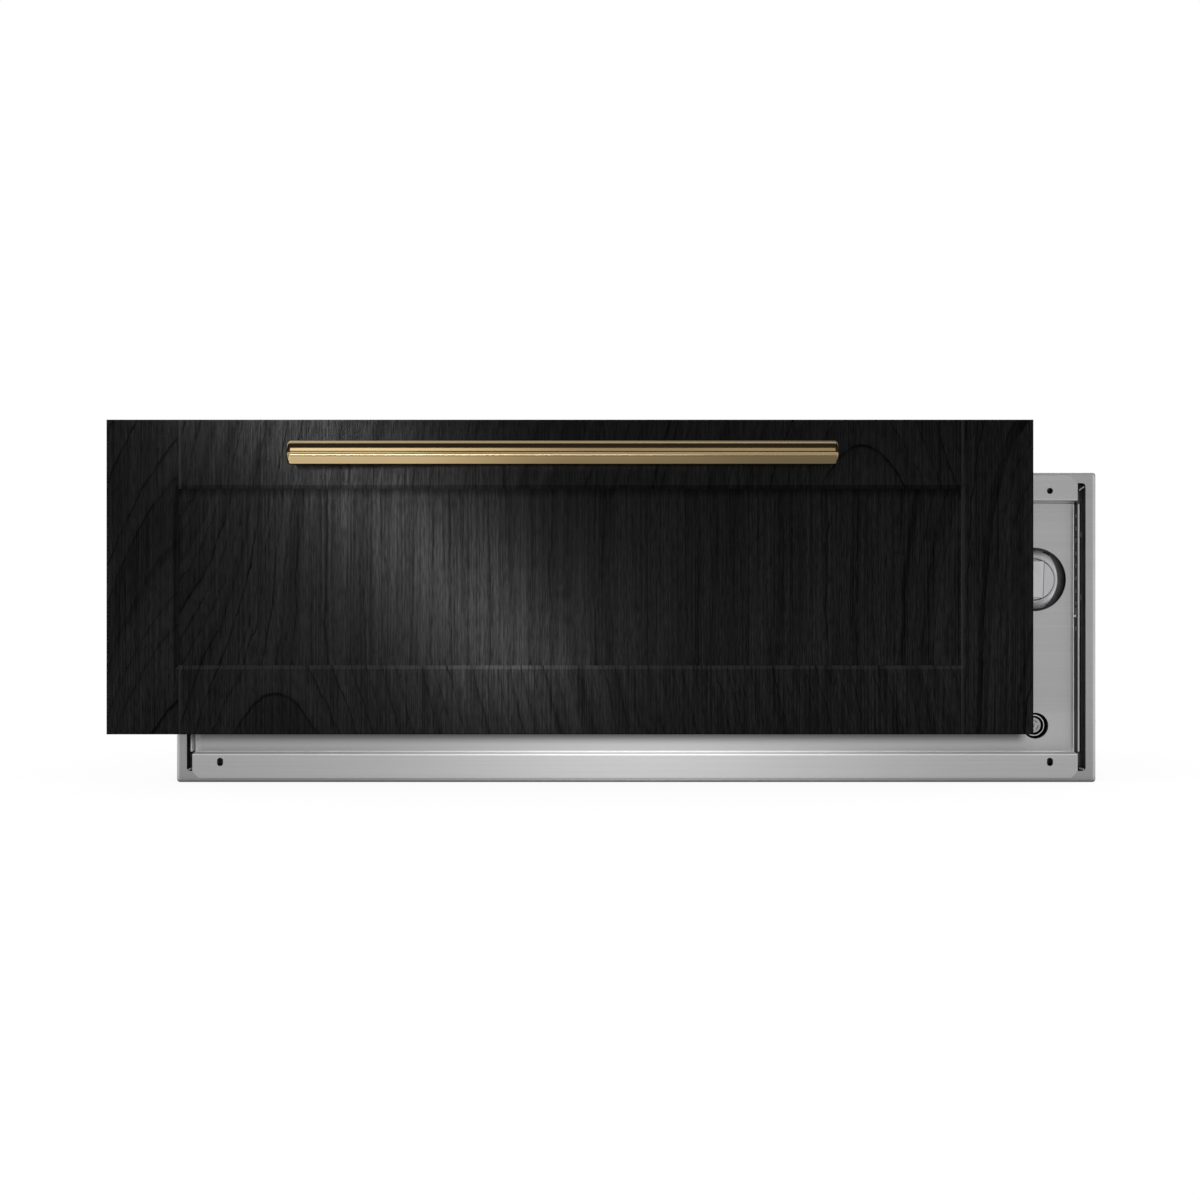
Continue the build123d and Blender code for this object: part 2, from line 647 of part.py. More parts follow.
def tub_screws():
    """Four screws from inside the tub into the pan's back."""
    screws = []
    for x, z in TUB_SCREWS:
        shank = rod(x, z, SCREW_R, BOX_BACK - 7, BOX_BACK + TUB_SKIN)
        head = rod(x, z, HEAD_R, BOX_BACK + TUB_SKIN, BOX_BACK + TUB_SKIN + HEAD_T)
        screws.append(shank + head)
    return group(screws)


RACK_HALF = 288.0
RACK_Y = (62.0, 486.0)
RACK_Z = 52.0
RACK_WIRES = 13


def tub_rack():
    """Welded wire rack on four short feet."""
    frame_r = 2.5
    wire_r = 1.6
    y0, y1 = RACK_Y
    middle = (y0 + y1) / 2
    rack = None
    for y in (y0, y1):
        bar = Pos(0, y, RACK_Z) * Rot(0, 90, 0) * Cylinder(frame_r, 2 * RACK_HALF + 2 * frame_r)
        rack = bar if rack is None else rack + bar
    for x in (-RACK_HALF, RACK_HALF):
        rack += Pos(x, middle, RACK_Z) * Rot(90, 0, 0) * Cylinder(frame_r, y1 - y0)
        for y in (y0, y1):
            rack += Pos(x, y, (RACK_Z + TUB_LOW + TUB_SKIN) / 2) * Cylinder(
                frame_r, RACK_Z - TUB_LOW - TUB_SKIN)
    step = 2 * RACK_HALF / (RACK_WIRES + 1)
    for i in range(1, RACK_WIRES + 1):
        rack += Pos(-RACK_HALF + i * step, middle, RACK_Z + 2) * Rot(90, 0, 0) * Cylinder(wire_r, y1 - y0)
    return rack


# ---------------------------------------------------------------- controls
def control_well():
    """Cup behind the plate that holds the temperature control."""
    cup = rod(KNOB_X, KNOB_Z, WELL_R + WELL_SKIN, DISH_BACK, WELL_BACK)
    cup -= rod(KNOB_X, KNOB_Z, WELL_R, DISH_BACK - 1, WELL_BACK - WELL_SKIN)
    return cup - rod(KNOB_X, KNOB_Z, SHAFT_R + 2, WELL_BACK - 5, WELL_BACK + 5)


def knob_bezel():
    """Bright bowl round the knob: a flared wall, and a skirt down to the well's floor."""
    middle = BOWL_RIM_R - BOWL_FLARE
    low = DISH_FRONT + BOWL_DEPTH
    inner_flare = BOWL_FLARE - BOWL_SKIN
    outline = [
        EllipticalCenterArc((middle, DISH_FRONT), BOWL_FLARE, BOWL_DEPTH, 0, arc_size=90),
        Polyline([(middle, low), (BOWL_HOLE_R, low), (BOWL_HOLE_R, low - BOWL_SKIN),
                  (middle, low - BOWL_SKIN)]),
        EllipticalCenterArc((middle, DISH_FRONT), inner_flare, BOWL_DEPTH - BOWL_SKIN, 0, arc_size=90),
        Line((middle + inner_flare, DISH_FRONT), (BOWL_RIM_R, DISH_FRONT)),
    ]
    bowl = Pos(KNOB_X, 0, KNOB_Z) * revolve(make_face(outline), Axis.Y)
    skirt = pipe(KNOB_X, KNOB_Z, BOWL_HOLE_R, BOWL_HOLE_R + 0.8, low - BOWL_SKIN, WELL_BACK - WELL_SKIN)
    return bowl + skirt


def control_knob():
    disc = rod(KNOB_X, KNOB_Z, KNOB_R, KNOB_FRONT, KNOB_FRONT + KNOB_DEPTH)
    disc = fillet(disc.faces().sort_by(Axis.Y)[0].edges(), 0.5)
    return disc - rod(KNOB_X, KNOB_Z, SHAFT_R, SHAFT_FRONT, KNOB_FRONT + KNOB_DEPTH + 1)


def knob_grip():
    """Straight grip across the knob's face."""
    wide, tall = GRIP
    grip = slab(-wide / 2, wide / 2, GRIP_FRONT, KNOB_FRONT, -tall / 2, tall / 2, 1.2)
    grip = fillet(grip.faces().sort_by(Axis.Y)[0].edges(), 0.9)
    return Pos(KNOB_X, 0, KNOB_Z) * Rot(0, GRIP_TURN, 0) * grip


def thermostat_shaft():
    return rod(KNOB_X, KNOB_Z, SHAFT_R, SHAFT_FRONT, THERMOSTAT_BACK - 3)


def thermostat_body():
    half = THERMOSTAT_HALF
    body = slab(KNOB_X - half, KNOB_X + half, WELL_BACK, THERMOSTAT_BACK, KNOB_Z - half, KNOB_Z + half, 3)
    return body - rod(KNOB_X, KNOB_Z, SHAFT_R + RUNNING, WELL_BACK - 1, THERMOSTAT_BACK - 2)


def thermostat_capillary():
    """Capillary tube from the thermostat to its bulb beside the tub."""
    start = (320.0, THERMOSTAT_BACK)
    route = [start, (start[0], 40.0), (BULB_X, 40.0), (BULB_X, 120.0)]
    line = FilletPolyline([(x, y, BULB_Z) for x, y in route], radius=1.9)
    tube = sweep(Plane(line @ 0, z_dir=line % 0) * Circle(CAPILLARY_R), path=line)
    return tube + rod(BULB_X, BULB_Z, 3.0, 119, 199)


def button_bezel():
    """Cup behind the plate's lower hole, with the collar that guides the button."""
    back = BUTTON_WELL_BACK
    cup = rod(BUTTON_X, BUTTON_Z, BUTTON_WELL_R + WELL_SKIN, DISH_BACK, back)
    cup -= rod(BUTTON_X, BUTTON_Z, BUTTON_WELL_R, DISH_BACK - 1, back - WELL_SKIN)
    collar = rod(BUTTON_X, BUTTON_Z, COLLAR_R, COLLAR_FRONT, back)
    collar = fillet(collar.faces().sort_by(Axis.Y)[0].edges(), 0.5)
    collar -= rod(BUTTON_X, BUTTON_Z, COLLAR_IN_R, COLLAR_FRONT - 1, COLLAR_STEP)
    return cup + collar - rod(BUTTON_X, BUTTON_Z, BUTTON_R + RUNNING, COLLAR_FRONT - 1, back + 1)


def power_button():
    """Round push button with a pocket for the lens and a stem into the switch."""
    cap = rod(BUTTON_X, BUTTON_Z, BUTTON_R, BUTTON_FRONT, BUTTON_BACK)
    cap = fillet(cap.faces().sort_by(Axis.Y)[0].edges(), 0.8)
    cap -= rod(BUTTON_X, BUTTON_Z, LENS_R + RUNNING, BUTTON_FRONT - 1, BUTTON_FRONT + LENS_POCKET)
    return cap + rod(BUTTON_X, BUTTON_Z, STEM_R, BUTTON_BACK, STEM_BACK)


def pilot_lens():
    lens = rod(BUTTON_X, BUTTON_Z, LENS_R, BUTTON_FRONT - LENS_PROUD, BUTTON_FRONT + LENS_POCKET)
    return fillet(lens.faces().sort_by(Axis.Y)[0].edges(), 0.5)


def power_switch():
    """Switch body on a sleeve behind the button's cup."""
    half_x = 12.0
    half_z = 16.0
    body = slab(BUTTON_X - half_x, BUTTON_X + half_x, SWITCH_FRONT, SWITCH_BACK, BUTTON_Z - half_z,
                BUTTON_Z + half_z, 2)
    body += pipe(BUTTON_X, BUTTON_Z, BUTTON_R + 1, COLLAR_R, BUTTON_WELL_BACK, SWITCH_FRONT)
    return body - rod(BUTTON_X, BUTTON_Z, STEM_R + RUNNING, SWITCH_FRONT - 1, STEM_BACK + 4)


# ---------------------------------------------------------------- wooden panel and handle
def panel_frame():
    """The whole frame before it is divided into stiles and rails, with its bevel and groove."""
    x0, x1 = PANEL_X - HALF, PANEL_X + HALF
    z0, z1 = PANEL_Z - PANEL_H / 2, PANEL_Z + PANEL_H / 2
    frame = block(x0, x1, PANEL_FRONT, PANEL_BACK, z0, z1)
    frame = chamfer(frame.faces().sort_by(Axis.Y)[0].edges(), EDGE)
    open_w = WIDTH - 2 * STILE
    open_h = PANEL_H - 2 * RAIL
    frame -= block(PANEL_X - open_w / 2, PANEL_X + open_w / 2, PANEL_FRONT - 1, PANEL_BACK + 1,
                   PANEL_Z - open_h / 2, PANEL_Z + open_h / 2)
    at = Pos(PANEL_X, PANEL_Z)
    wide = Plane.XZ.offset(-PANEL_FRONT) * at * Rectangle(open_w + 2 * BEVEL, open_h + 2 * BEVEL)
    narrow = Plane.XZ.offset(-PANEL_FRONT - BEVEL) * at * Rectangle(open_w, open_h)
    frame -= loft([wide, narrow])
    play = 0.25
    y0 = PANEL_FRONT + SUNK
    deep = TONGUE + 1
    groove = block(PANEL_X - open_w / 2 - deep, PANEL_X + open_w / 2 + deep, y0 - play,
                   y0 + CENTRE_T + play, PANEL_Z - open_h / 2 - deep, PANEL_Z + open_h / 2 + deep)
    frame -= groove
    for dx in (-FIX_X, FIX_X):
        for z in (FIX_HIGH, FIX_LOW):
            pilot_z = PANEL_Z + z - MOUNTED_Z
            frame -= rod(PANEL_X + PLATE_X + dx, pilot_z, 1.5, PANEL_BACK - 12, PANEL_BACK + 1)
    for x in POST_XS:
        frame -= rod(x, BAR_Z, HANDLE_SCREW_R + HOLE_PLAY, PANEL_FRONT - 1, PANEL_BACK + 1)
        frame -= rod(x, BAR_Z, 5.0, PANEL_BACK - 5, PANEL_BACK + 1)
    return frame


def frame_part(frame, low, high, joints):
    """One member of the frame; low and high are its (x, z) limits from the panel's centre.

    Its front edges at the joints, given as x from the panel's centre, are eased.
    """
    part = frame & block(PANEL_X + low[0], PANEL_X + high[0], PANEL_FRONT - 5, PANEL_BACK + 5,
                         PANEL_Z + low[1], PANEL_Z + high[1])
    for x in joints:
        groove = Pos(PANEL_X + x, PANEL_FRONT, PANEL_Z) * Rot(0, 0, 45) * Box(EASE, EASE, PANEL_H)
        part -= groove
    return part


def centre_panel():
    half_w = HALF - STILE + TONGUE
    half_h = PANEL_H / 2 - RAIL + TONGUE
    y0 = PANEL_FRONT + SUNK
    return block(PANEL_X - half_w, PANEL_X + half_w, y0, y0 + CENTRE_T, PANEL_Z - half_h,
                 PANEL_Z + half_h)


def bar_solid():
    return Pos(BAR_X, BAR_Y, BAR_Z) * Rot(0, 90, 0) * Cylinder(BAR_R, BAR_LENGTH)


def handle_bar():
    """Round bar with softly rounded ends."""
    bar = bar_solid()
    return fillet(bar.edges().filter_by(GeomType.CIRCLE), BAR_END_ROUND)


def handle_posts():
    """Two posts with a foot on the rail, saddled to the bar and tapped for the screws."""
    posts = []
    for x in POST_XS:
        post = rod(x, BAR_Z, POST_R, BAR_Y, PANEL_FRONT)
        post += rod(x, BAR_Z, POST_R + 1.5, PANEL_FRONT - 2, PANEL_FRONT)
        post -= bar_solid()
        post -= rod(x, BAR_Z, HANDLE_SCREW_R, PANEL_FRONT - 14, PANEL_FRONT + 1)
        posts.append(post)
    return group(posts)


def handle_screws():
    """Two machine screws from the panel's back into the posts."""
    screws = []
    for x in POST_XS:
        shank = rod(x, BAR_Z, HANDLE_SCREW_R - RUNNING, PANEL_FRONT - 12, PANEL_BACK - 5)
        head = rod(x, BAR_Z, 4.4, PANEL_BACK - 5, PANEL_BACK - 1.5)
        screws.append(shank + head)
    return group(screws)


# ---------------------------------------------------------------- all nodes
def case_nodes():
    right, left = both_sides(case_side())
    liner_right, liner_left = both_sides(liner_side())
    outer_right, outer_left = both_sides(slide_outer())
    return {
        "case_bottom": case_sheet(0, 0),
        "case_top": case_sheet(CASE_HEIGHT - SHEET, -RIM_T),
        "case_left": left,
        "case_right": right,
        "case_back": case_back(),
        "case_screws": case_screws(),
        "case_flange": case_flange(),
        "front_surround": front_surround(),
        "side_seals": side_seals(),
        "cavity_front_ring": cavity_front_ring(),
        "liner_top": liner_sheet(LINER_HIGH),
        "liner_bottom": liner_sheet(LINER_LOW - LINER_SKIN),
        "liner_left": liner_left,
        "liner_right": liner_right,
        "liner_back": liner_back(),
        "insulation_wrap": insulation_wrap(),
        "insulation_bottom": insulation_bottom(),
        "insulation_back": insulation_back(),
        "heating_element": heating_element(),
        "element_brackets": element_brackets(),
        "thermal_cutout": thermal_cutout(),
        "junction_box": junction_box(),
        "junction_cover": junction_cover(),
        "terminal_block": terminal_block(),
        "cable_gland": cable_gland(),
        "anti_tip_bracket": anti_tip_bracket(),
        "slide_outer_left": outer_left,
        "slide_outer_right": outer_right,
    }


def drawer_nodes():
    inner_right, inner_left = both_sides(slide_inner())
    middle_right, middle_left = both_sides(slide_middle())
    return {
        "front_plate": front_plate(),
        "front_box": front_box(),
        "front_insulation": front_insulation(),
        "drawer_gasket": drawer_gasket(),
        "drawer_tub": drawer_tub(),
        "tub_screws": tub_screws(),
        "tub_rack": tub_rack(),
        "slide_inner_left": inner_left,
        "slide_inner_right": inner_right,
        "slide_middle_left": middle_left,
        "slide_middle_right": middle_right,
        "vent_slider": vent_slider(),
        "vent_guides": vent_guides(),
    }


def control_nodes():
    return {
        "control_well": control_well(),
        "knob_bezel": knob_bezel(),
        "control_knob": control_knob(),
        "knob_grip": knob_grip(),
        "thermostat_shaft": thermostat_shaft(),
        "thermostat_body": thermostat_body(),
        "thermostat_capillary": thermostat_capillary(),
        "button_bezel": button_bezel(),
        "power_button": power_button(),
        "pilot_lens": pilot_lens(),
        "power_switch": power_switch(),
    }


def panel_nodes():
    frame = panel_frame()
    half_h = PANEL_H / 2
    inner_w = HALF - STILE
    inner_h = half_h - RAIL
    return {
        "stile_left": frame_part(frame, (-HALF, -half_h), (-inner_w, half_h), [-inner_w]),
        "stile_right": frame_part(frame, (inner_w, -half_h), (HALF, half_h), [inner_w]),
        "rail_top": frame_part(frame, (-inner_w, inner_h), (inner_w, half_h), [-inner_w, inner_w]),
        "rail_bottom": frame_part(frame, (-inner_w, -half_h), (inner_w, -inner_h), [-inner_w, inner_w]),
        "centre_panel": centre_panel(),
        "handle_bar": handle_bar(),
        "handle_posts": handle_posts(),
        "handle_screws": handle_screws(),
    }


def main():
    os.makedirs("parts", exist_ok=True)
    for nodes in (case_nodes(), drawer_nodes(), control_nodes(), panel_nodes()):
        for name, shape in nodes.items():
            export_step(shape, f"parts/{name}.step")


main()
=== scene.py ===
"""Looks of the built-in warming drawer: materials, small details, light and camera."""
import json
import math

import bmesh
import bpy
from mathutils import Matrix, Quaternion, Vector

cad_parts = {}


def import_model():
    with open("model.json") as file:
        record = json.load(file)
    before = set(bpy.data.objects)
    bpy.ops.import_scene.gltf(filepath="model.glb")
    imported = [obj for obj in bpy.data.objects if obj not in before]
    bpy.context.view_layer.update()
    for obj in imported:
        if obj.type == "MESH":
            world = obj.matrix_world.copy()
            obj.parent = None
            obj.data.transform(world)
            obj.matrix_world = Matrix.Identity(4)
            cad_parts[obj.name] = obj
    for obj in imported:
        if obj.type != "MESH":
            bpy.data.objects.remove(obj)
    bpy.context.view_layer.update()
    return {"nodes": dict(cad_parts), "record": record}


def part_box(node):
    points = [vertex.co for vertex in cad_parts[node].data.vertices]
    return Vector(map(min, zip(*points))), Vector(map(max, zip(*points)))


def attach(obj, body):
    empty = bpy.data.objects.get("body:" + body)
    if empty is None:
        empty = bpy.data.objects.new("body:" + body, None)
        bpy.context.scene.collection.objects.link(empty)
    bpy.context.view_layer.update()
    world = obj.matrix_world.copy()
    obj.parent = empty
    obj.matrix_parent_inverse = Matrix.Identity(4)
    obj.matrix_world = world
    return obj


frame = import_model()
NODES = frame["nodes"]

PANEL_NODES = frame["record"]["behaviour"]["bodies"]["panel"]
PANEL_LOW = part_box("stile_left")[0]
PANEL_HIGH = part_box("stile_right")[1]
PLATE_LOW, PLATE_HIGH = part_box("front_plate")
SURROUND_LOW, SURROUND_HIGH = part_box("front_surround")
BAR_LOW, BAR_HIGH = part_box("handle_bar")
RAIL_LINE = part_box("rail_top")[0].z
KNOB_AT = sum(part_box("knob_bezel"), Vector()) / 2
MM = 0.001
COLLAR_FACE = 3.0 * MM          # y of the button collar's front
DISH_FLOOR = -7.0 * MM          # y just in front of the dish's floor
FOLD_LOW = 11.9 * MM            # z of the plate's lower fold, from flange to dish floor
FOLD_HIGH = 15.6 * MM


# ---------------------------------------------------------------- node helpers
class Look:
    """A material and short ways to add nodes to it."""

    def __init__(self, name):
        self.material = bpy.data.materials.new(name)
        self.material.use_nodes = True
        self.tree = self.material.node_tree
        self.shader = self.tree.nodes["Principled BSDF"]
        self.place = self.tree.nodes.new("ShaderNodeTexCoord").outputs["Object"]

    def add(self, kind, values=(), **settings):
        """A node; values are pairs of input and number or socket."""
        node = self.tree.nodes.new(kind)
        for key, value in settings.items():
            setattr(node, key, value)
        for key, value in values:
            self.put(node.inputs[key], value)
        return node

    def put(self, socket, value):
        if isinstance(value, bpy.types.NodeSocket):
            self.tree.links.new(value, socket)
        else:
            socket.default_value = value

    def set(self, **values):
        """Principled inputs, with underscores for spaces."""
        for key, value in values.items():
            self.put(self.shader.inputs[key.replace("_", " ")], value)

    def math(self, operation, a, b=0.0, c=0.0):
        node = self.add("ShaderNodeMath", [(0, a), (1, b), (2, c)], operation=operation)
        return node.outputs[0]

    def scaled(self, scale, offset=(0, 0, 0)):
        """The object's coordinates, scaled and moved."""
        node = self.add("ShaderNodeMapping", [("Vector", self.place), ("Scale", scale),
                                              ("Location", offset)])
        return node.outputs[0]

    def split(self, vector=None):
        return self.add("ShaderNodeSeparateXYZ", [(0, vector or self.place)]).outputs

    def facing(self):
        """The parts of the object's own normal; its y is -1 on what looks to the front."""
        return self.split(self.add("ShaderNodeTexCoord").outputs["Normal"])

    def times(self, a, b):
        return self.math("MULTIPLY", a, b)

    def plus(self, a, b):
        return self.math("ADD", a, b)

    def join(self, x, y, z):
        return self.add("ShaderNodeCombineXYZ", [(0, x), (1, y), (2, z)]).outputs[0]

    def noise(self, vector, scale=1.0, detail=3.0, roughness=0.5, distortion=0.0):
        node = self.add("ShaderNodeTexNoise", [("Vector", vector), ("Scale", scale),
                                               ("Detail", detail), ("Roughness", roughness),
                                               ("Distortion", distortion)])
        return node.outputs["Fac"]

    def span(self, value, low, high, to_low=0.0, to_high=1.0, smooth=False):
        """Value mapped from one range to another, clamped."""
        kind = "SMOOTHSTEP" if smooth else "LINEAR"
        node = self.add("ShaderNodeMapRange", [("Value", value), ("From Min", low),
                                               ("From Max", high), ("To Min", to_low),
                                               ("To Max", to_high)], interpolation_type=kind)
        return node.outputs[0]

    def blend(self, factor, a, b):
        """Colour a where factor is 0 and b where it is 1."""
        node = self.add("ShaderNodeMix", data_type="RGBA")
        self.put(node.inputs["Factor"], factor)
        self.put(node.inputs[6], a)
        self.put(node.inputs[7], b)
        return node.outputs[2]

    def bump(self, height, distance, strength):
        node = self.add("ShaderNodeBump", [("Height", height), ("Strength", strength),
                                           ("Distance", distance)])
        self.put(self.shader.inputs["Normal"], node.outputs[0])


def nodes_of(tree):
    """The short ways to add nodes, for a tree that exists."""
    look = Look.__new__(Look)
    look.tree = tree
    return look


def grey(value):
    return (value, value, value, 1.0)


# ---------------------------------------------------------------- materials
def brushed(name, tone, lines="x", roughness=0.3):
    """Brushed metal: streaks along one axis in tone, roughness and relief."""
    look = Look(name)
    contrast = 0.06
    long_axis = 5.0
    cross_axis = 900.0
    scale = [cross_axis] * 3
    scale["xyz".index(lines)] = long_axis
    fine = look.noise(look.scaled(scale), detail=4.0, roughness=0.65)
    broad = look.noise(look.scaled([s / 12 for s in scale], (3, 1, 2)), detail=2.0)
    cloud = look.noise(look.scaled((9, 9, 9)), detail=2.0)
    streak = look.plus(look.times(fine, 0.65), look.times(broad, 0.35))
    streak = look.plus(look.times(streak, 0.85), look.times(cloud, 0.15))
    dark = grey(tone * (1 - contrast))
    light = grey(tone * (1 + contrast))
    across = {"x": (0, 0, 1), "y": (1, 0, 0), "z": (1, 0, 0)}[lines]
    look.set(Base_Color=look.blend(look.span(streak, 0.35, 0.65), dark, light), Metallic=1.0,
             Roughness=look.span(streak, 0.3, 0.7, roughness * 0.88, roughness * 1.12),
             Anisotropic=0.6, Tangent=look.join(*across))
    look.bump(fine, 0.00002, 0.35)
    return look.material


def change(material):
    """Access to a finished material, to alter it further."""
    look = nodes_of(material.node_tree)
    look.material = material
    look.shader = look.tree.nodes["Principled BSDF"]
    look.place = look.add("ShaderNodeTexCoord").outputs["Object"]
    return look


def painted_shade_coat(material, share, tone, roughness=0.6):
    """Painted shade: where share is 1 the metal turns into a dull coat of the given tone, which
    stands in for shade.
    """
    look = change(material)
    shader = look.shader
    color = shader.inputs["Base Color"].links[0].from_socket
    rough = shader.inputs["Roughness"].links[0].from_socket
    look.put(shader.inputs["Base Color"], look.blend(share(look), color, grey(tone)))
    bright = look.math("SUBTRACT", 1.0, share(look))
    look.set(Metallic=bright, Specular_IOR_Level=look.times(bright, 0.5))
    mixed = look.add("ShaderNodeMix", [(0, share(look)), (2, rough), (3, roughness)])
    look.put(shader.inputs["Roughness"], mixed.outputs[0])
    return material


def turned(material, share, amount):
    """Where share is 1 the shading normal leans towards the front by amount, as on a soft bend."""
    look = change(material)
    bump = look.tree.nodes["Bump"]
    normal = look.add("ShaderNodeNewGeometry").outputs["Normal"]
    part = look.times(share(look), amount)
    kept = look.add("ShaderNodeVectorMath", operation="SCALE")
    look.put(kept.inputs[0], normal)
    look.put(kept.inputs["Scale"], look.math("SUBTRACT", 1.0, part))
    lean = look.join(0.0, look.times(part, -1.0), 0.0)
    total = look.add("ShaderNodeVectorMath", operation="ADD")
    look.put(total.inputs[0], kept.outputs[0])
    look.put(total.inputs[1], lean)
    unit = look.add("ShaderNodeVectorMath", operation="NORMALIZE")
    look.put(unit.inputs[0], total.outputs[0])
    look.put(bump.inputs["Normal"], unit.outputs[0])
    return material


def toned(material, factor):
    """The metal's colour times a factor that depends on the place."""
    look = change(material)
    socket = look.shader.inputs["Base Color"]
    color = socket.links[0].from_socket
    product = look.add("ShaderNodeVectorMath", operation="SCALE")
    look.put(product.inputs[0], color)
    look.put(product.inputs["Scale"], factor(look))
    look.put(socket, product.outputs[0])
    return material


def low_fold(look):
    """1 on the fold between the dish's floor and the lower flange."""
    z = look.split()[2]
    return look.times(look.span(z, FOLD_LOW, FOLD_LOW + 0.4 * MM),
                      look.span(z, FOLD_HIGH - 0.3 * MM, FOLD_HIGH, 1.0, 0.0))


def plate_light_and_shade(look):
    """Painted highlights: light lines on the lower fold and at the foot of the side walls. Painted
    shade: darker on the fold, a painted shadow under the wooden front, and a darker right end of
    the dish's floor.
    """
    x, y, z = look.split()
    floor_fold_highlight = look.times(look.span(z, FOLD_LOW + 2.0 * MM, FOLD_LOW + 2.3 * MM),
                            look.span(z, FOLD_HIGH - 0.6 * MM, FOLD_HIGH - 0.3 * MM, 1.0, 0.0))
    flange_fold_highlight = look.times(look.span(z, FOLD_LOW + 0.1 * MM, FOLD_LOW + 0.6 * MM),
                           look.span(z, FOLD_LOW + 1.4 * MM, FOLD_LOW + 1.6 * MM, 1.0, 0.0))
    flange_fold_highlight = look.times(flange_fold_highlight, look.span(y, PLATE_LOW.y + 1.2 * MM, PLATE_LOW.y + 0.7 * MM))
    side = look.math("ABSOLUTE", look.math("SUBTRACT", x, (PLATE_LOW.x + PLATE_HIGH.x) / 2))
    foot = look.span(side, PLATE_HIGH.x - 5.5 * MM, PLATE_HIGH.x - 2.0 * MM, 0.0, 0.6)
    foot = look.times(foot, look.span(y, DISH_FLOOR, DISH_FLOOR + 0.6 * MM))
    lines = look.math("MAXIMUM", look.math("MAXIMUM", floor_fold_highlight, flange_fold_highlight), foot)
    # painted shadow: a strip under the wooden front; painted shade at the right end of the dish's
    # floor and on the fold
    foot_z, right_x = PANEL_LOW.z, PANEL_HIGH.x
    strip = look.times(look.span(z, foot_z - 11 * MM, foot_z - 1 * MM, 0.0, -0.72, smooth=True),
                       look.span(x, right_x - 8 * MM, right_x, 1.0, 0.0))
    strip = look.times(strip, look.span(z, foot_z + 12 * MM, foot_z + 30 * MM, 1.0, 0.0))
    end = look.times(look.span(x, 300 * MM, 325 * MM, 0.0, -0.15, smooth=True),
                     look.span(z, 30 * MM, 60 * MM))
    dark = look.plus(look.plus(look.times(low_fold(look), -0.15), strip), end)
    return look.plus(look.math("MULTIPLY_ADD", lines, 0.75, 1.0), dark)


def trim_edge(look):
    """1 on the rounded outer edges of the trim ring, seen from the front."""
    return look.span(look.facing()[1], -0.05, -0.35)


def trim_edge_highlight(look):
    """Painted highlight: the trim ring is lighter along its outer edges."""
    x, _, z = look.split()
    side = look.math("ABSOLUTE", x)
    end, foot = SURROUND_HIGH.x, SURROUND_LOW.z
    return look.math("MAXIMUM",
                     look.span(side, end - 3.2 * MM, end, 1.0, 2.3, smooth=True),
                     look.span(z, foot + 1.6 * MM, foot, 1.0, 1.7))


def slot_face(look):
    """1 on the face of the vent strip that shows through the slots."""
    return look.span(look.facing()[0], -0.5, -0.9)


def slider_end_shade(look):
    """Painted shade: the narrow front end of the vent strip, behind the wall, is dark."""
    front = look.span(look.facing()[1], -0.5, -0.9)
    behind = look.span(look.split()[0], PLATE_HIGH.x - 1.8 * MM, PLATE_HIGH.x - 1.2 * MM)
    return look.math("MULTIPLY_ADD", look.times(front, behind), -0.85, 1.0)


def disc_rim_shade(look):
    """Painted shade: the rounded rim of the knob's disc is dark."""
    return look.math("MULTIPLY_ADD", eased_edge(look), -0.85, 1.0)


def grip_edge_shade(look):
    """Painted shade: the rounded edges of the grip are a little darker."""
    return look.math("MULTIPLY_ADD", eased_edge(look), -0.35, 1.0)


def bowl_shade(look):
    """1 in the shaded part of the bowl: a crescent on the right, a thin rim above and below."""
    x, _, z = look.split()
    dx = look.math("SUBTRACT", x, KNOB_AT.x)
    dz = look.math("SUBTRACT", z, KNOB_AT.z)
    radius = look.math("SQRT", look.plus(look.times(dx, dx), look.times(dz, dz)))
    right = look.math("DIVIDE", dx, radius)
    up = look.math("DIVIDE", dz, radius)
    start = look.plus(look.span(right, 0.35, 1.0, 24.6 * MM, 19.2 * MM),
                      look.span(up, -0.2, -0.9, 0.0, -1.0 * MM))
    past = look.math("SUBTRACT", radius, start)
    return look.times(look.span(past, 0.0, 1.4 * MM, smooth=True),
                      look.span(past, 2.5 * MM, 6.5 * MM, 0.82, 1.0))


def dish_wall_shade(look):
    """1 on the side walls of the plate's dish, most on the right one: where shade is painted."""
    side = look.facing()[0]
    return look.math("MAXIMUM", look.span(side, -0.5, -0.9), look.span(side, 0.5, 0.9, 0.0, 0.5))


def button_cup(look):
    """1 on the deep surfaces round the button, where shade is painted; 0 on the front of the
    collar.
    """
    depth = look.split()[1]
    return look.span(depth, COLLAR_FACE + 0.4 * MM, COLLAR_FACE + 0.9 * MM)


def galvanised():
    """Zinc-coated sheet with faint spangle."""
    look = Look("galvanised_sheet")
    cells = look.add("ShaderNodeTexVoronoi", [("Vector", look.scaled((1, 1, 1))), ("Scale", 75.0)])
    tone = look.split(cells.outputs["Color"])[0]
    haze = look.noise(look.scaled((6, 6, 6)), detail=4.0)
    mixed = look.plus(look.times(tone, 0.45), look.times(haze, 0.55))
    look.set(Base_Color=look.blend(mixed, (0.43, 0.45, 0.46, 1), (0.60, 0.62, 0.63, 1)),
             Metallic=0.9, Roughness=look.span(mixed, 0.2, 0.8, 0.34, 0.52))
    look.bump(haze, 0.0002, 0.15)
    return look.material


def plain_metal(name, color, roughness, scratch=0.03):
    """Plated or drawn metal with fine random wear."""
    look = Look(name)
    grain = look.noise(look.scaled((700, 700, 700)), detail=3.0)
    wear_and_edge_light = look.noise(look.scaled((40, 40, 40)), detail=5.0, roughness=0.6)
    dark = [c * (1 - 2 * scratch) for c in color] + [1]
    light = [c * (1 + scratch) for c in color] + [1]
    look.set(Base_Color=look.blend(wear_and_edge_light, dark, light), Metallic=1.0,
             Roughness=look.span(wear_and_edge_light, 0.3, 0.7, roughness * 0.8, roughness * 1.25))
    look.bump(grain, 0.00002, 0.2)
    return look.material


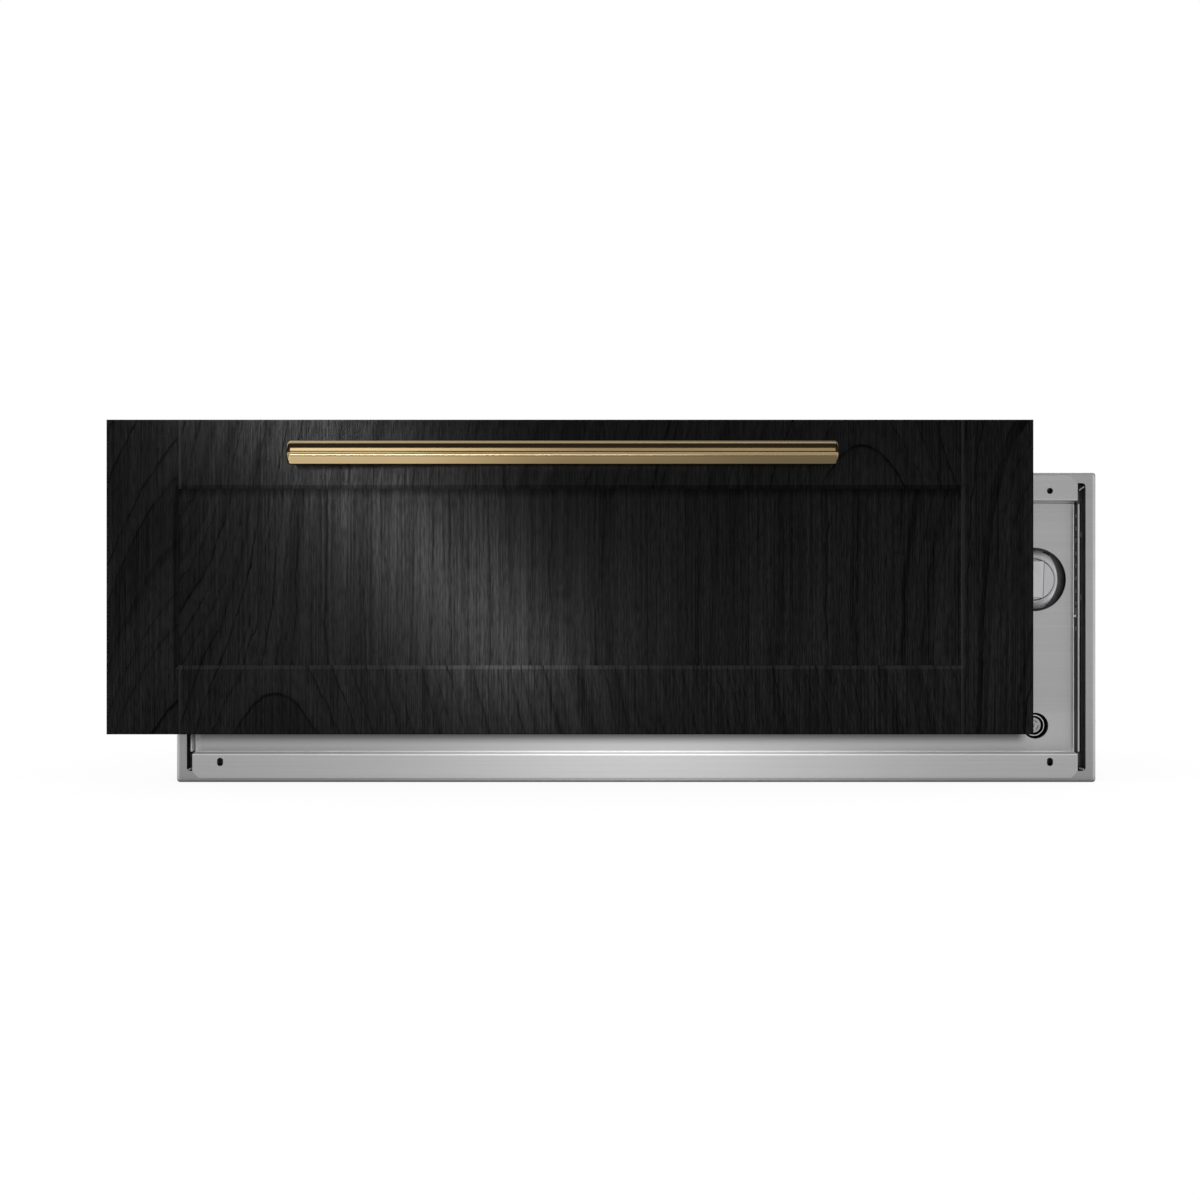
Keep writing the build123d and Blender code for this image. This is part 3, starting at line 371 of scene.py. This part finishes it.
def moulded(name, color, roughness):
    """Moulded plastic or rubber with a fine tooth."""
    look = Look(name)
    tooth = look.noise(look.scaled((1500, 1500, 1500)), detail=2.0)
    dust = look.noise(look.scaled((30, 30, 30)), detail=4.0)
    dark = [c * 0.85 for c in color] + [1]
    light = [c * 1.2 for c in color] + [1]
    look.set(Base_Color=look.blend(dust, dark, light),
             Roughness=look.span(dust, 0.3, 0.7, roughness * 0.9, min(1.0, roughness * 1.1)))
    look.bump(tooth, 0.00003, 0.4)
    return look.material


def mineral_wool():
    """Matted yellowish fibre."""
    look = Look("mineral_wool")
    fibre = look.noise(look.scaled((120, 120, 600)), detail=6.0, roughness=0.7, distortion=0.8)
    clump = look.noise(look.scaled((25, 25, 60)), detail=3.0)
    look.set(Base_Color=look.blend(look.times(fibre, clump), (0.42, 0.35, 0.18, 1),
                                   (0.80, 0.74, 0.52, 1)), Roughness=0.95)
    look.bump(look.plus(fibre, clump), 0.0015, 0.8)
    return look.material


def porcelain():
    look = Look("glazed_porcelain")
    speck = look.noise(look.scaled((900, 900, 900)), detail=2.0)
    look.set(Base_Color=look.blend(speck, (0.78, 0.76, 0.71, 1), (0.88, 0.86, 0.82, 1)),
             Roughness=0.25)
    look.bump(speck, 0.00002, 0.2)
    return look.material


def clear_lens():
    """Clear cap of the pilot light with a faint facet pattern."""
    look = Look("pilot_lens_clear")
    cells = look.add("ShaderNodeTexVoronoi", [("Vector", look.place), ("Scale", 900.0)])
    facet = cells.outputs["Distance"]
    look.set(Base_Color=look.blend(facet, (0.62, 0.62, 0.64, 1), (0.86, 0.86, 0.88, 1)),
             Roughness=0.12, Coat_Weight=0.6)
    look.bump(facet, 0.0001, 0.4)
    return look.material


def stained_oak(name, board):
    """Near-black stained open-grain veneer: vertical fibres, soft bands and thin growth lines."""
    look = Look(name)
    x, _, z = look.split()
    seed = board["seed"]
    warp = look.noise(look.scaled((13, 1, 8), (seed, 0, seed)), detail=4.0, roughness=0.6)
    ripple = look.noise(look.scaled((110, 1, 30), (0, seed, 0)), detail=3.0, roughness=0.6)
    sway = look.plus(look.times(look.math("SUBTRACT", warp, 0.5), board["sway"]),
                     look.times(look.math("SUBTRACT", ripple, 0.5), 0.006))
    ring = board["rings"](look, look.plus(x, sway), z)
    # uneven spacing: the rings are stretched and squeezed by a slow noise of their own number
    drift = look.add("ShaderNodeTexNoise", [("W", look.math("MULTIPLY_ADD", ring, 0.55, seed)),
                                            ("Scale", 1.0), ("Detail", 2.0)], noise_dimensions="1D")
    ring = look.plus(ring, look.math("MULTIPLY_ADD", drift.outputs["Fac"], board.get("drift", 1.9),
                                     board["phase"]))
    part = look.math("FRACT", ring)
    number = look.math("FLOOR", ring)
    random = look.add("ShaderNodeTexWhiteNoise", [("W", look.plus(number, seed))],
                      noise_dimensions="1D").outputs["Value"]
    edge = look.times(look.span(part, 0.88, 0.96, smooth=True),
                     look.span(part, 0.965, 0.995, 1.0, 0.0))
    halo = look.span(part, 0.6, 1.0, 0.0, 0.14, smooth=True)
    breaks = look.noise(look.scaled((60, 1, 22), (seed, 0, 2)), detail=2.0)
    broken = look.span(breaks, 0.34, 0.54, 0.45, 1.0)
    line = look.times(look.plus(look.times(edge, broken), halo),
                      look.span(random, 0.1, 0.7, 0.5, 1.0))
    band = look.add("ShaderNodeTexNoise", [("W", look.times(ring, 0.7)), ("Scale", 1.0),
                                           ("Detail", 2.0)], noise_dimensions="1D").outputs["Fac"]
    # fibres and pores run straight up over everything
    fibres = look.noise(look.scaled((820, 1, 6), (0, 0, seed)), detail=2.0, roughness=0.7)
    pores = look.noise(look.scaled((1000, 1, 85), (seed, 0, 0)), detail=1.0, roughness=0.6)
    veins = look.noise(look.scaled((210, 1, 3.0), (seed, 0, seed)), detail=4.0, roughness=0.7)
    tone = look.plus(look.times(look.span(band, 0.3, 0.7), 0.24),
                     look.times(look.span(veins, 0.36, 0.64), 0.22))
    tone = look.plus(tone, look.times(look.span(fibres, 0.38, 0.62, 0.17, 1.0), 0.44))
    tone = look.times(tone, look.span(pores, 0.38, 0.56, 0.62, 1.12))
    depth = board["line"]
    if "calm" in board:
        # growth lines are faint between these two places
        left, right = board["calm"]
        depth = look.math("MAXIMUM",
                          look.span(x, left - 0.03, left + 0.05, depth, FAINT, smooth=True),
                          look.span(x, right - 0.05, right + 0.03, FAINT, depth, smooth=True))
    tone = look.times(tone, look.math("SUBTRACT", 1.0, look.times(line, depth)))
    if "corner" in board:
        # painted shadow: the centre panel is darker in the corner under the top rail
        corner = board["corner"]
        tone = look.times(tone, look.span(z, corner - 9 * MM, corner, 1.0, 0.45, smooth=True))
    # sloping edges: painted highlight where they face up or left, painted shade elsewhere
    nx, _, nz = look.facing()
    wear_and_edge_light = look.span(look.math("SUBTRACT", nz, nx), -0.3, 0.3, -0.45, 0.9)
    tone = look.times(tone, look.math("MULTIPLY_ADD", wear_and_edge_light, eased_edge(look), 1.0))
    color = look.blend(tone, grey(OAK_DARK), grey(OAK_LIGHT))
    if "joint_highlight" in board:
        # painted highlight: the eased edge at the joint shows a little lighter
        joint_highlight = board["joint_highlight"]
        share = look.span(x, joint_highlight + 0.4 * MM, joint_highlight + 3.6 * MM, 0.5, 0.0, smooth=True)
        color = look.blend(share, color, grey(0.05))
    look.set(Base_Color=color,
             Roughness=look.span(tone, 0.0, 1.0, 0.18, 0.14),
             Specular_IOR_Level=look.span(tone, 0.0, 0.85, 0.02, 0.30))
    height = look.plus(look.times(pores, 0.7), look.times(fibres, 0.4))
    look.bump(look.math("SUBTRACT", height, look.times(line, 0.4)), 0.00004, 0.5)
    return turned(look.material, eased_edge, 1.0)


def eased_edge(look):
    """1 on the sloping edges of a piece, 0 on its flat faces."""
    front = look.facing()[1]
    return look.times(look.span(front, -0.95, -0.88), look.span(front, -0.45, -0.35, 1.0, 0.0))


def arches(heart_x, heart_z, step=0.040, rise=29.5, wide=0.075):
    """Cathedral grain: arches round the heart that straighten into upright lines away from it."""
    def rings(look, x, z):
        away = look.math("DIVIDE", look.math("SUBTRACT", x, heart_x), wide)
        root = look.math("SQRT", look.math("MULTIPLY_ADD", away, away, 1.0))
        climb = look.times(look.math("SUBTRACT", root, 1.0), 2 * rise * wide * wide)
        up = look.math("SUBTRACT", z, heart_z)
        return look.math("DIVIDE", look.plus(up, climb), step)
    return rings


def leaning(step, left, right, curl=2.2):
    """Upright lines that lean to the right near both ends of a wide board.

    left and right are (x where the lean is full, x where it has gone, lean).
    """
    def rings(look, x, z):
        shift = 0.0
        for (full, gone, lean), foot in ((left, PANEL_LOW.z), (right, PANEL_HIGH.z)):
            up = look.math("SUBTRACT", z, foot)
            bent = look.times(up, look.math("MULTIPLY_ADD", up, curl, 1.0))
            low, high = sorted((full, gone))
            ends = (lean, 0.0) if full < gone else (0.0, lean)
            part = look.times(bent, look.span(x, low, high, *ends, smooth=True))
            shift = look.plus(part, shift)
        return look.math("DIVIDE", look.math("SUBTRACT", x, shift), step)
    return rings


def satin_brass():
    """Brushed brass: fine lines along the bar and a slightly uneven tone."""
    look = Look("satin_brass")
    fine = look.noise(look.scaled((6, 1400, 1400)), detail=4.0, roughness=0.6)
    tone = look.noise(look.scaled((5, 60, 60)), detail=2.0)
    look.set(Base_Color=look.blend(look.span(tone, 0.3, 0.7), (0.48, 0.345, 0.170, 1),
                                   (0.57, 0.425, 0.23, 1)), Metallic=1.0,
             Roughness=look.span(fine, 0.3, 0.7, 0.09, 0.14))
    look.bump(fine, 0.000005, 0.3)
    return turned(look.material, lower_rim, 0.27)


def lower_rim(look):
    """1 on the lowest part of the bar."""
    return look.span(look.facing()[2], -0.70, -0.80)


OAK_DARK = 0.0014
OAK_LIGHT = 0.0135
FAINT = 0.42                    # depth of the growth lines where they are faint
BOARDS = {
    "stile_left": {"rings": arches(-0.3475, 0.30, 0.046, 16.6, 0.2), "seed": 1.7, "phase": 0.0,
                   "sway": 0.010, "line": 0.75},
    "stile_right": {"rings": leaning(0.024, (0.29, 0.37, 0.0), (0.33, 0.25, 0.75), 1.5),
                    "seed": 5.1, "phase": 0.0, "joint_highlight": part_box("stile_right")[0].x,
                    "sway": 0.016, "line": 0.8},
    "rail_top": {"rings": arches(0.1856, 0.2664), "seed": 3.3, "phase": 0.12,
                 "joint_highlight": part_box("rail_top")[0].x, "sway": 0.008, "line": 0.8},
    "rail_bottom": {"rings": arches(-0.2956, 0.0628), "seed": 7.9, "phase": -0.06, "drift": 0.0,
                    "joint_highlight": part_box("rail_bottom")[0].x, "sway": 0.008, "line": 0.7},
    "centre_panel": {"rings": leaning(0.017, (-0.38, -0.25, 0.55), (0.31, 0.16, 0.85)),
                     "seed": 11.3, "phase": 0.0, "calm": (-0.26, 0.16), "corner": RAIL_LINE,
                     "sway": 0.020, "line": 0.85},
}


def slot_materials():
    """Materials of the slots whose nodes need no material of their own."""
    return {
        "galvanised": galvanised(),
        "zinc_screw": plain_metal("zinc_screw", (0.62, 0.62, 0.60), 0.3),
        "dark_flange": moulded("dark_flange_coat", (0.012, 0.012, 0.012), 0.45),
        "rubber_seal": moulded("seal_rubber", (0.13, 0.13, 0.13), 0.42),
        "liner_steel": brushed("liner_mill_steel", 0.50, lines="y", roughness=0.38),
        "mineral_wool": mineral_wool(),
        "element_sheath": plain_metal("element_sheath", (0.13, 0.12, 0.11), 0.55, 0.1),
        "porcelain": porcelain(),
        "black_plastic": moulded("black_plastic", (0.02, 0.02, 0.02), 0.4),
        "zinc_slide": brushed("slide_zinc", 0.58, lines="y", roughness=0.3),
        "gasket": moulded("gasket_rubber", (0.035, 0.034, 0.033), 0.75),
        "tub_steel": brushed("tub_steel", 0.56, lines="x", roughness=0.33),
        "chrome_wire": plain_metal("chrome_wire", (0.72, 0.72, 0.73), 0.12, 0.01),
        "button_satin": plain_metal("button_satin", (0.45, 0.45, 0.46), 0.3, 0.02),
        "lens_clear": clear_lens(),
        "copper_tube": plain_metal("copper_tube", (0.62, 0.33, 0.2), 0.3),
        "satin_brass": satin_brass(),
    }


def node_materials():
    """Materials of single nodes: each wooden board has a grain of its own."""
    boards = {name: stained_oak(f"oak_{name}", board) for name, board in BOARDS.items()}
    plate = painted_shade_coat(brushed("stainless_plate", 0.56, roughness=0.31), dish_wall_shade, 0.12)
    slider = brushed("slider_steel", 0.8, lines="z", roughness=0.4)
    trim = brushed("stainless_trim", 0.42, roughness=0.3)
    bowl = plain_metal("bright_bowl", (0.42, 0.42, 0.43), 0.3, 0.02)
    cup = plain_metal("button_cup", (0.6, 0.6, 0.61), 0.25)
    disc = plain_metal("knob_disc", (0.53, 0.53, 0.54), 0.34, 0.02)
    grip = plain_metal("knob_grip_satin", (0.62, 0.62, 0.63), 0.40, 0.01)
    return {
        **boards,
        "front_plate": toned(turned(plate, low_fold, 0.9), plate_light_and_shade),
        "front_surround": toned(turned(trim, trim_edge, 0.6), trim_edge_highlight),
        "vent_slider": toned(turned(slider, slot_face, 0.85), slider_end_shade),
        "knob_bezel": painted_shade_coat(bowl, bowl_shade, 0.006, 0.4),
        "button_bezel": painted_shade_coat(cup, button_cup, 0.004),
        "control_knob": toned(disc, disc_rim_shade),
        "knob_grip": toned(grip, grip_edge_shade),
    }


def paint_nodes():
    """Every CAD node gets its own material or that of its slot."""
    by_slot = slot_materials()
    by_node = node_materials()
    slots = {p["node"]: p["material_slot"] for p in frame["record"]["subparts"]}
    for name, node in NODES.items():
        material = by_node[name] if name in by_node else by_slot[slots[name]]
        node.data.materials.clear()
        node.data.materials.append(material)


paint_nodes()


# ---------------------------------------------------------------- small details
DARK_INK = moulded("dark_ink", (0.006, 0.006, 0.006), 0.5)
BRIGHT_CLIP = plain_metal("bright_clip", (0.72, 0.72, 0.72), 0.3, 0.02)
LIP_RUBBER = moulded("lip_rubber", (0.24, 0.24, 0.24), 0.35)


def piece(name, points, faces, material, body, smooth=False):
    """A closed mesh in metres that moves with a body."""
    mesh = bpy.data.meshes.new(name)
    mesh.from_pydata(points, [], faces)
    mesh.validate()
    shape = bmesh.new()
    shape.from_mesh(mesh)
    bmesh.ops.recalc_face_normals(shape, faces=shape.faces)
    shape.to_mesh(mesh)
    shape.free()
    mesh.materials.append(material)
    for face in mesh.polygons:
        face.use_smooth = smooth
    item = bpy.data.objects.new(name, mesh)
    bpy.context.scene.collection.objects.link(item)
    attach(item, body)
    return item


def tube_of(sections):
    """Points and faces of a solid through equal sections, capped at both ends."""
    count = len(sections[0])
    points = [p for section in sections for p in section]
    faces = []
    for row in range(len(sections) - 1):
        here, there = row * count, (row + 1) * count
        for k in range(count):
            turn = (k + 1) % count
            faces.append((here + k, here + turn, there + turn, there + k))
    faces.append(tuple(range(count)))
    faces.append(tuple(range(len(points) - count, len(points))))
    return points, faces


def several(solids):
    """Points and faces of several solids as one mesh."""
    points, faces = [], []
    for more_points, more_faces in solids:
        first = len(points)
        points += more_points
        faces += [tuple(first + k for k in face) for face in more_faces]
    return points, faces


def on_dial(centre, radius, angle, y):
    """A point on a dial; the angle is in degrees, clockwise from the top."""
    turn = math.radians(angle)
    return (centre.x + radius * math.sin(turn), y, centre.z + radius * math.cos(turn))


def dial_mark(centre, height, inner, outer, start, end):
    """A raised mark that lies on the bowl; height gives the bowl's y at a radius."""
    steps = max(2, int(abs(end - start) / 1.5) + 1)
    sections = []
    for k in range(steps):
        angle = start + (end - start) * k / (steps - 1)
        rims = [on_dial(centre, r, angle, height(r) + lift) for r, lift in
                ((inner, -0.2 * MM), (outer, -0.2 * MM), (outer, 0.1 * MM), (inner, 0.1 * MM))]
        sections.append(rims)
    return tube_of(sections)


def bowl_marks():
    """Scale of the temperature control: a long dash and a ring of ticks on the bright bowl."""
    low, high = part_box("knob_bezel")
    centre = (low + high) / 2
    flare = 7.5 * MM
    depth = 4.6 * MM
    start = 18.3 * MM

    def height(r):
        rise = min(1.0, max(0.0, (r - start) / flare))
        return low.y + depth * math.sqrt(1 - rise * rise) - 0.03 * MM

    marks = [dial_mark(centre, height, 23.5 * MM, 24.8 * MM, 19, 33)]
    for angle in range(-150, 151, 30):
        if angle != 30:
            marks.append(dial_mark(centre, height, 22.9 * MM, 24.8 * MM, angle + 1.9, angle + 3.1))
    piece("bowl_marks", *several(marks), DARK_INK, "drawer")


def seal_lips():
    """Rounded lip of the rubber strips, on the outer wall of each slot."""
    low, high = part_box("side_seals")
    radius = 0.65 * MM
    wall = high.x + 1.05 * MM
    sides = 10
    turns = [2 * math.pi * k / sides for k in range(sides)]
    solids = []
    for sign in (-1, 1):
        sections = []
        for z in (low.z + 12 * MM, high.z - 12 * MM):
            sections.append([(sign * (wall - radius + radius * math.cos(turn)),
                              low.y - 3.5 * MM + radius * math.sin(turn), z) for turn in turns])
        solids.append(tube_of(sections))
    piece("seal_lips", *several(solids), LIP_RUBBER, "chassis", smooth=True)


def slot_clips():
    """Small bent clips that hold the rubber strips at the ends of the slots."""
    low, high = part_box("side_seals")
    front, back = low.y - 14 * MM, low.y + 1 * MM
    solids = []
    for sign in (-1, 1):
        for z, rise in ((high.z - 2.5 * MM, 2.8), (low.z - 1.2 * MM, -1.2)):
            sections = []
            for inset, up in ((-3.6, 0.0), (-2.2, 0.35), (-0.6, 0.8), (0.5, 1.0)):
                x = sign * (high.x + inset * MM)
                height = z + rise * up * MM
                thick = height + 1.3 * MM
                sections.append([(x, front, height), (x, front, thick),
                                 (x, back, thick), (x, back, height)])
            solids.append(tube_of(sections))
    piece("slot_clips", *several(solids), BRIGHT_CLIP, "chassis")


def lens_marks():
    """Dark filament support marks behind the pilot light's cap."""
    low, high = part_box("pilot_lens")
    centre = (low + high) / 2

    def flat(r):
        return low.y

    marks = [dial_mark(centre, flat, 3.5 * MM, 3.9 * MM, start, start + 60)
             for start in range(0, 360, 90)]
    marks.append(dial_mark(centre, flat, 0.3 * MM, 1.5 * MM, 20, 55))
    marks.append(dial_mark(centre, flat, 0.3 * MM, 1.5 * MM, 150, 185))
    piece("lens_marks", *several(marks), DARK_INK, "button")


bowl_marks()
seal_lips()
slot_clips()
lens_marks()


# ---------------------------------------------------------------- stage, light and camera
FLOOR_Z = SURROUND_LOW.z - 0.0005
CAMERA_AT = Vector((-0.0299, -2.4237, 0.1404))
VIEW_WIDTH = 0.9902             # metres across the picture in the plane of the drawer's front
SENSOR = 36.0
STUDIO_FILL = 0.45
STUDIO_FRONT = 0.10
STUDIO_SIDE = 0.04
STUDIO_BEHIND = 0.8


def floor():
    """Pale floor that reads as white and keeps a faint shadow."""
    look = Look("pale_floor")
    tree = look.tree
    path = look.add("ShaderNodeLightPath").outputs
    seen = look.math("MAXIMUM", path["Is Camera Ray"], path["Is Transmission Ray"])
    x, y, _ = look.split()
    distance = look.math("SQRT", look.plus(look.times(x, x), look.times(y, y)))
    # painted shadow: in reflections the floor glows less and is darker near the object
    mirrored = look.math("MAXIMUM", look.span(distance, 0.35, 1.2, 0.12, 0.6, smooth=True),
                         look.span(distance, 1.0, 4.0))
    share = look.math("MAXIMUM", seen, look.times(path["Is Glossy Ray"], mirrored))
    glow = look.add("ShaderNodeEmission", [("Color", grey(1.0)),
                                           ("Strength", look.times(share, 0.9))])
    tone = look.math("SUBTRACT", 0.8, look.times(seen, 0.55))
    tone = look.math("SUBTRACT", tone, look.times(path["Is Glossy Ray"], 0.7))
    matt = look.add("ShaderNodeBsdfDiffuse", [("Color", tone)])
    both = look.add("ShaderNodeAddShader", [(0, glow.outputs[0]), (1, matt.outputs[0])])
    tree.links.new(both.outputs[0], tree.nodes["Material Output"].inputs["Surface"])
    far = 40.0
    mesh = bpy.data.meshes.new("floor")
    corners = [(-far, -far), (far, -far), (far, far), (-far, far)]
    mesh.from_pydata([(x, y, FLOOR_Z) for x, y in corners], [], [(0, 1, 2, 3)])
    mesh.materials.append(look.material)
    plane = bpy.data.objects.new("floor", mesh)
    bpy.context.scene.collection.objects.link(plane)


def world():
    """White backdrop for the camera; a plain grey studio, paler behind the object, for the rest."""
    studio = bpy.data.worlds.new("studio")
    bpy.context.scene.world = studio
    studio.use_nodes = True
    look = nodes_of(studio.node_tree)
    path = look.add("ShaderNodeLightPath").outputs
    x, y, z = look.split(look.add("ShaderNodeTexCoord").outputs["Generated"])
    behind = look.times(look.span(y, 0.3, 0.6, smooth=True),
                        look.span(x, -0.12, 0.08, STUDIO_BEHIND, 0.35 * STUDIO_BEHIND))
    side = look.span(look.math("ABSOLUTE", x), 0.35, 0.7, STUDIO_FRONT, STUDIO_SIDE, smooth=True)
    front = look.times(side, look.span(look.math("ABSOLUTE", z), 0.35, 0.7, 1.0, 0.35))
    mirrored = look.math("MAXIMUM", front, behind)
    level = look.add("ShaderNodeMix", [(0, path["Is Glossy Ray"]), (2, STUDIO_FILL), (3, mirrored)])
    seen = look.math("MAXIMUM", path["Is Camera Ray"], path["Is Transmission Ray"])
    total = look.add("ShaderNodeMix", [(0, seen), (2, level.outputs[0]), (3, 1.0)])
    back = look.tree.nodes["Background"]
    look.put(back.inputs["Strength"], total.outputs[0])
    back.inputs["Color"].default_value = grey(1.0)


def lamp(name, at, aim, size, glow, only, tilt=0.0, fade=None):
    """A soft rectangular lamp; only is the collection that it lights.

    fade gives its brightness at stations across its width, from the viewer's left to the right.
    """
    data = bpy.data.lights.new(name, "AREA")
    data.shape = "RECTANGLE"
    data.size, data.size_y = size
    data.energy = glow * math.pi * size[0] * size[1]
    light = bpy.data.objects.new(name, data)
    turn = (Vector(aim) - Vector(at)).to_track_quat("-Z", "Y")
    light.rotation_mode = "QUATERNION"
    light.rotation_quaternion = turn @ Quaternion((0, 0, 1), math.radians(tilt))
    light.location = at
    light.visible_camera = False
    bpy.context.scene.collection.objects.link(light)
    light.light_linking.receiver_collection = only
    if fade:
        data.use_nodes = True
        look = nodes_of(data.node_tree)
        across = look.split(look.add("ShaderNodeNewGeometry").outputs["Parametric"])[0]
        ramp = look.add("ShaderNodeValToRGB", [("Fac", across)])
        ramp.color_ramp.interpolation = "EASE"
        stops = ramp.color_ramp.elements
        while len(stops) < len(fade):
            stops.new(0.5)
        for stop, (place, level) in zip(stops, fade):
            stop.position = place
            stop.color = grey(level)
        look.put(look.tree.nodes["Emission"].inputs["Strength"], ramp.outputs[0])
    return light


def collection(name, objects):
    found = bpy.data.collections.new(name)
    for item in objects:
        found.objects.link(item)
    return found


def lights():
    wood = [NODES[n] for n in BOARDS]
    bar = [NODES["handle_bar"], NODES["handle_posts"]]
    others = [o for n, o in NODES.items() if n not in PANEL_NODES]
    steel_group = collection("lit_steel", others)
    wood_group = collection("lit_wood", wood)
    bar_group = collection("lit_bar", bar)
    both_group = collection("lit_from_above", others + wood)
    middle = Vector((0, 0, 0.12))
    bar_middle = (BAR_LOW + BAR_HIGH) / 2
    # steel: an even box in front, a ceiling, and a brighter pool behind the camera
    lamp("steel_box", (0, -3.4, 0.7), (0, 0, 0.7), (3.2, 3.4), 0.27, steel_group)
    lamp("steel_ceiling", (0, -1.7, 2.6), (0, -1.7, 0), (3.0, 3.0), 0.45, steel_group)
    lamp("steel_floor", (0, -1.06, FLOOR_Z + 0.001), (0, -1.06, 1), (3.0, 2.06), 0.55, steel_group)
    lamp("steel_key", (0.04, -2.9, 0.3), middle, (0.5, 1.6), 2.3, steel_group)
    lamp("fold_key", (0.0, -2.6, 1.55), middle, (2.2, 0.22), 2.2, steel_group)
    # wood: one slanting strip whose soft reflection crosses the left half
    lamp("wood_key", (-0.26, -2.5, 0.14), (-0.15, 0, 0.14), (0.09, 1.5), 10.4, wood_group, tilt=40)
    lamp("wood_corner", (-0.60, -2.5, 0.46), (-0.32, 0, 0.28), (0.36, 0.12), 0.7, wood_group)
    lamp("wood_right", (0.46, -2.5, 0.36), (0.2, 0, 0.24), (0.9, 0.3), 0.14, wood_group)
    lamp("wood_above", (0, -0.10, 2.2), (0, -0.06, 0.1), (1.6, 0.5), 0.9, wood_group)
    lamp("wood_left", (-2.3, -0.30, 0.14), (0, -0.06, 0.14), (0.5, 0.5), 0.8, wood_group)
    # brass: strips that draw the lines along the bar, brighter towards the left
    lamp("bar_high", (0, -2.04, 1.34), (0, -0.07, 0.26), (1.6, 1.1), 1.45, bar_group,
         fade=((0.0, 1.0), (0.28, 1.0), (0.48, 0.28), (0.66, 0.34), (0.75, 0.30)))
    strip = lamp("bar_low", (0, -0.56, 0.05), (0, -0.07, 0.26), (1.0, 0.022), 12.0, bar_group,
                 fade=((0.0, 1.0), (0.28, 1.0), (0.47, 0.50), (0.62, 0.10), (0.85, 0.04)))
    strip.data.color = (0.92, 1.0, 1.3)
    lamp("bar_under", (0, -0.22, 0.0), (0, -0.22, 1.0), (1.2, 0.42), 1.0, bar_group,
         fade=((0.2, 0.07), (0.38, 0.11), (0.53, 0.30), (0.68, 0.85), (0.9, 1.0)))
    lamp("bar_back", (0, 0.55, 2.2), (0, -0.08, 0.26), (2.4, 0.5), 0.8, bar_group)
    lamp("bar_front", (-0.62, -2.4, 0.35), bar_middle, (0.6, 0.3), 1.0, bar_group)
    lamp("top_fill", (0, -0.8, 2.4), middle, (2.0, 1.4), 0.6, both_group)


def camera():
    data = bpy.data.cameras.new("camera")
    data.sensor_width = SENSOR
    data.lens = SENSOR * (PLATE_LOW.y - CAMERA_AT.y) / VIEW_WIDTH
    eye = bpy.data.objects.new("camera", data)
    eye.location = CAMERA_AT
    eye.rotation_euler = (math.radians(90), 0, 0)
    bpy.context.scene.collection.objects.link(eye)
    bpy.context.scene.camera = eye


floor()
world()
lights()
camera()
bpy.context.scene.view_settings.view_transform = "Standard"
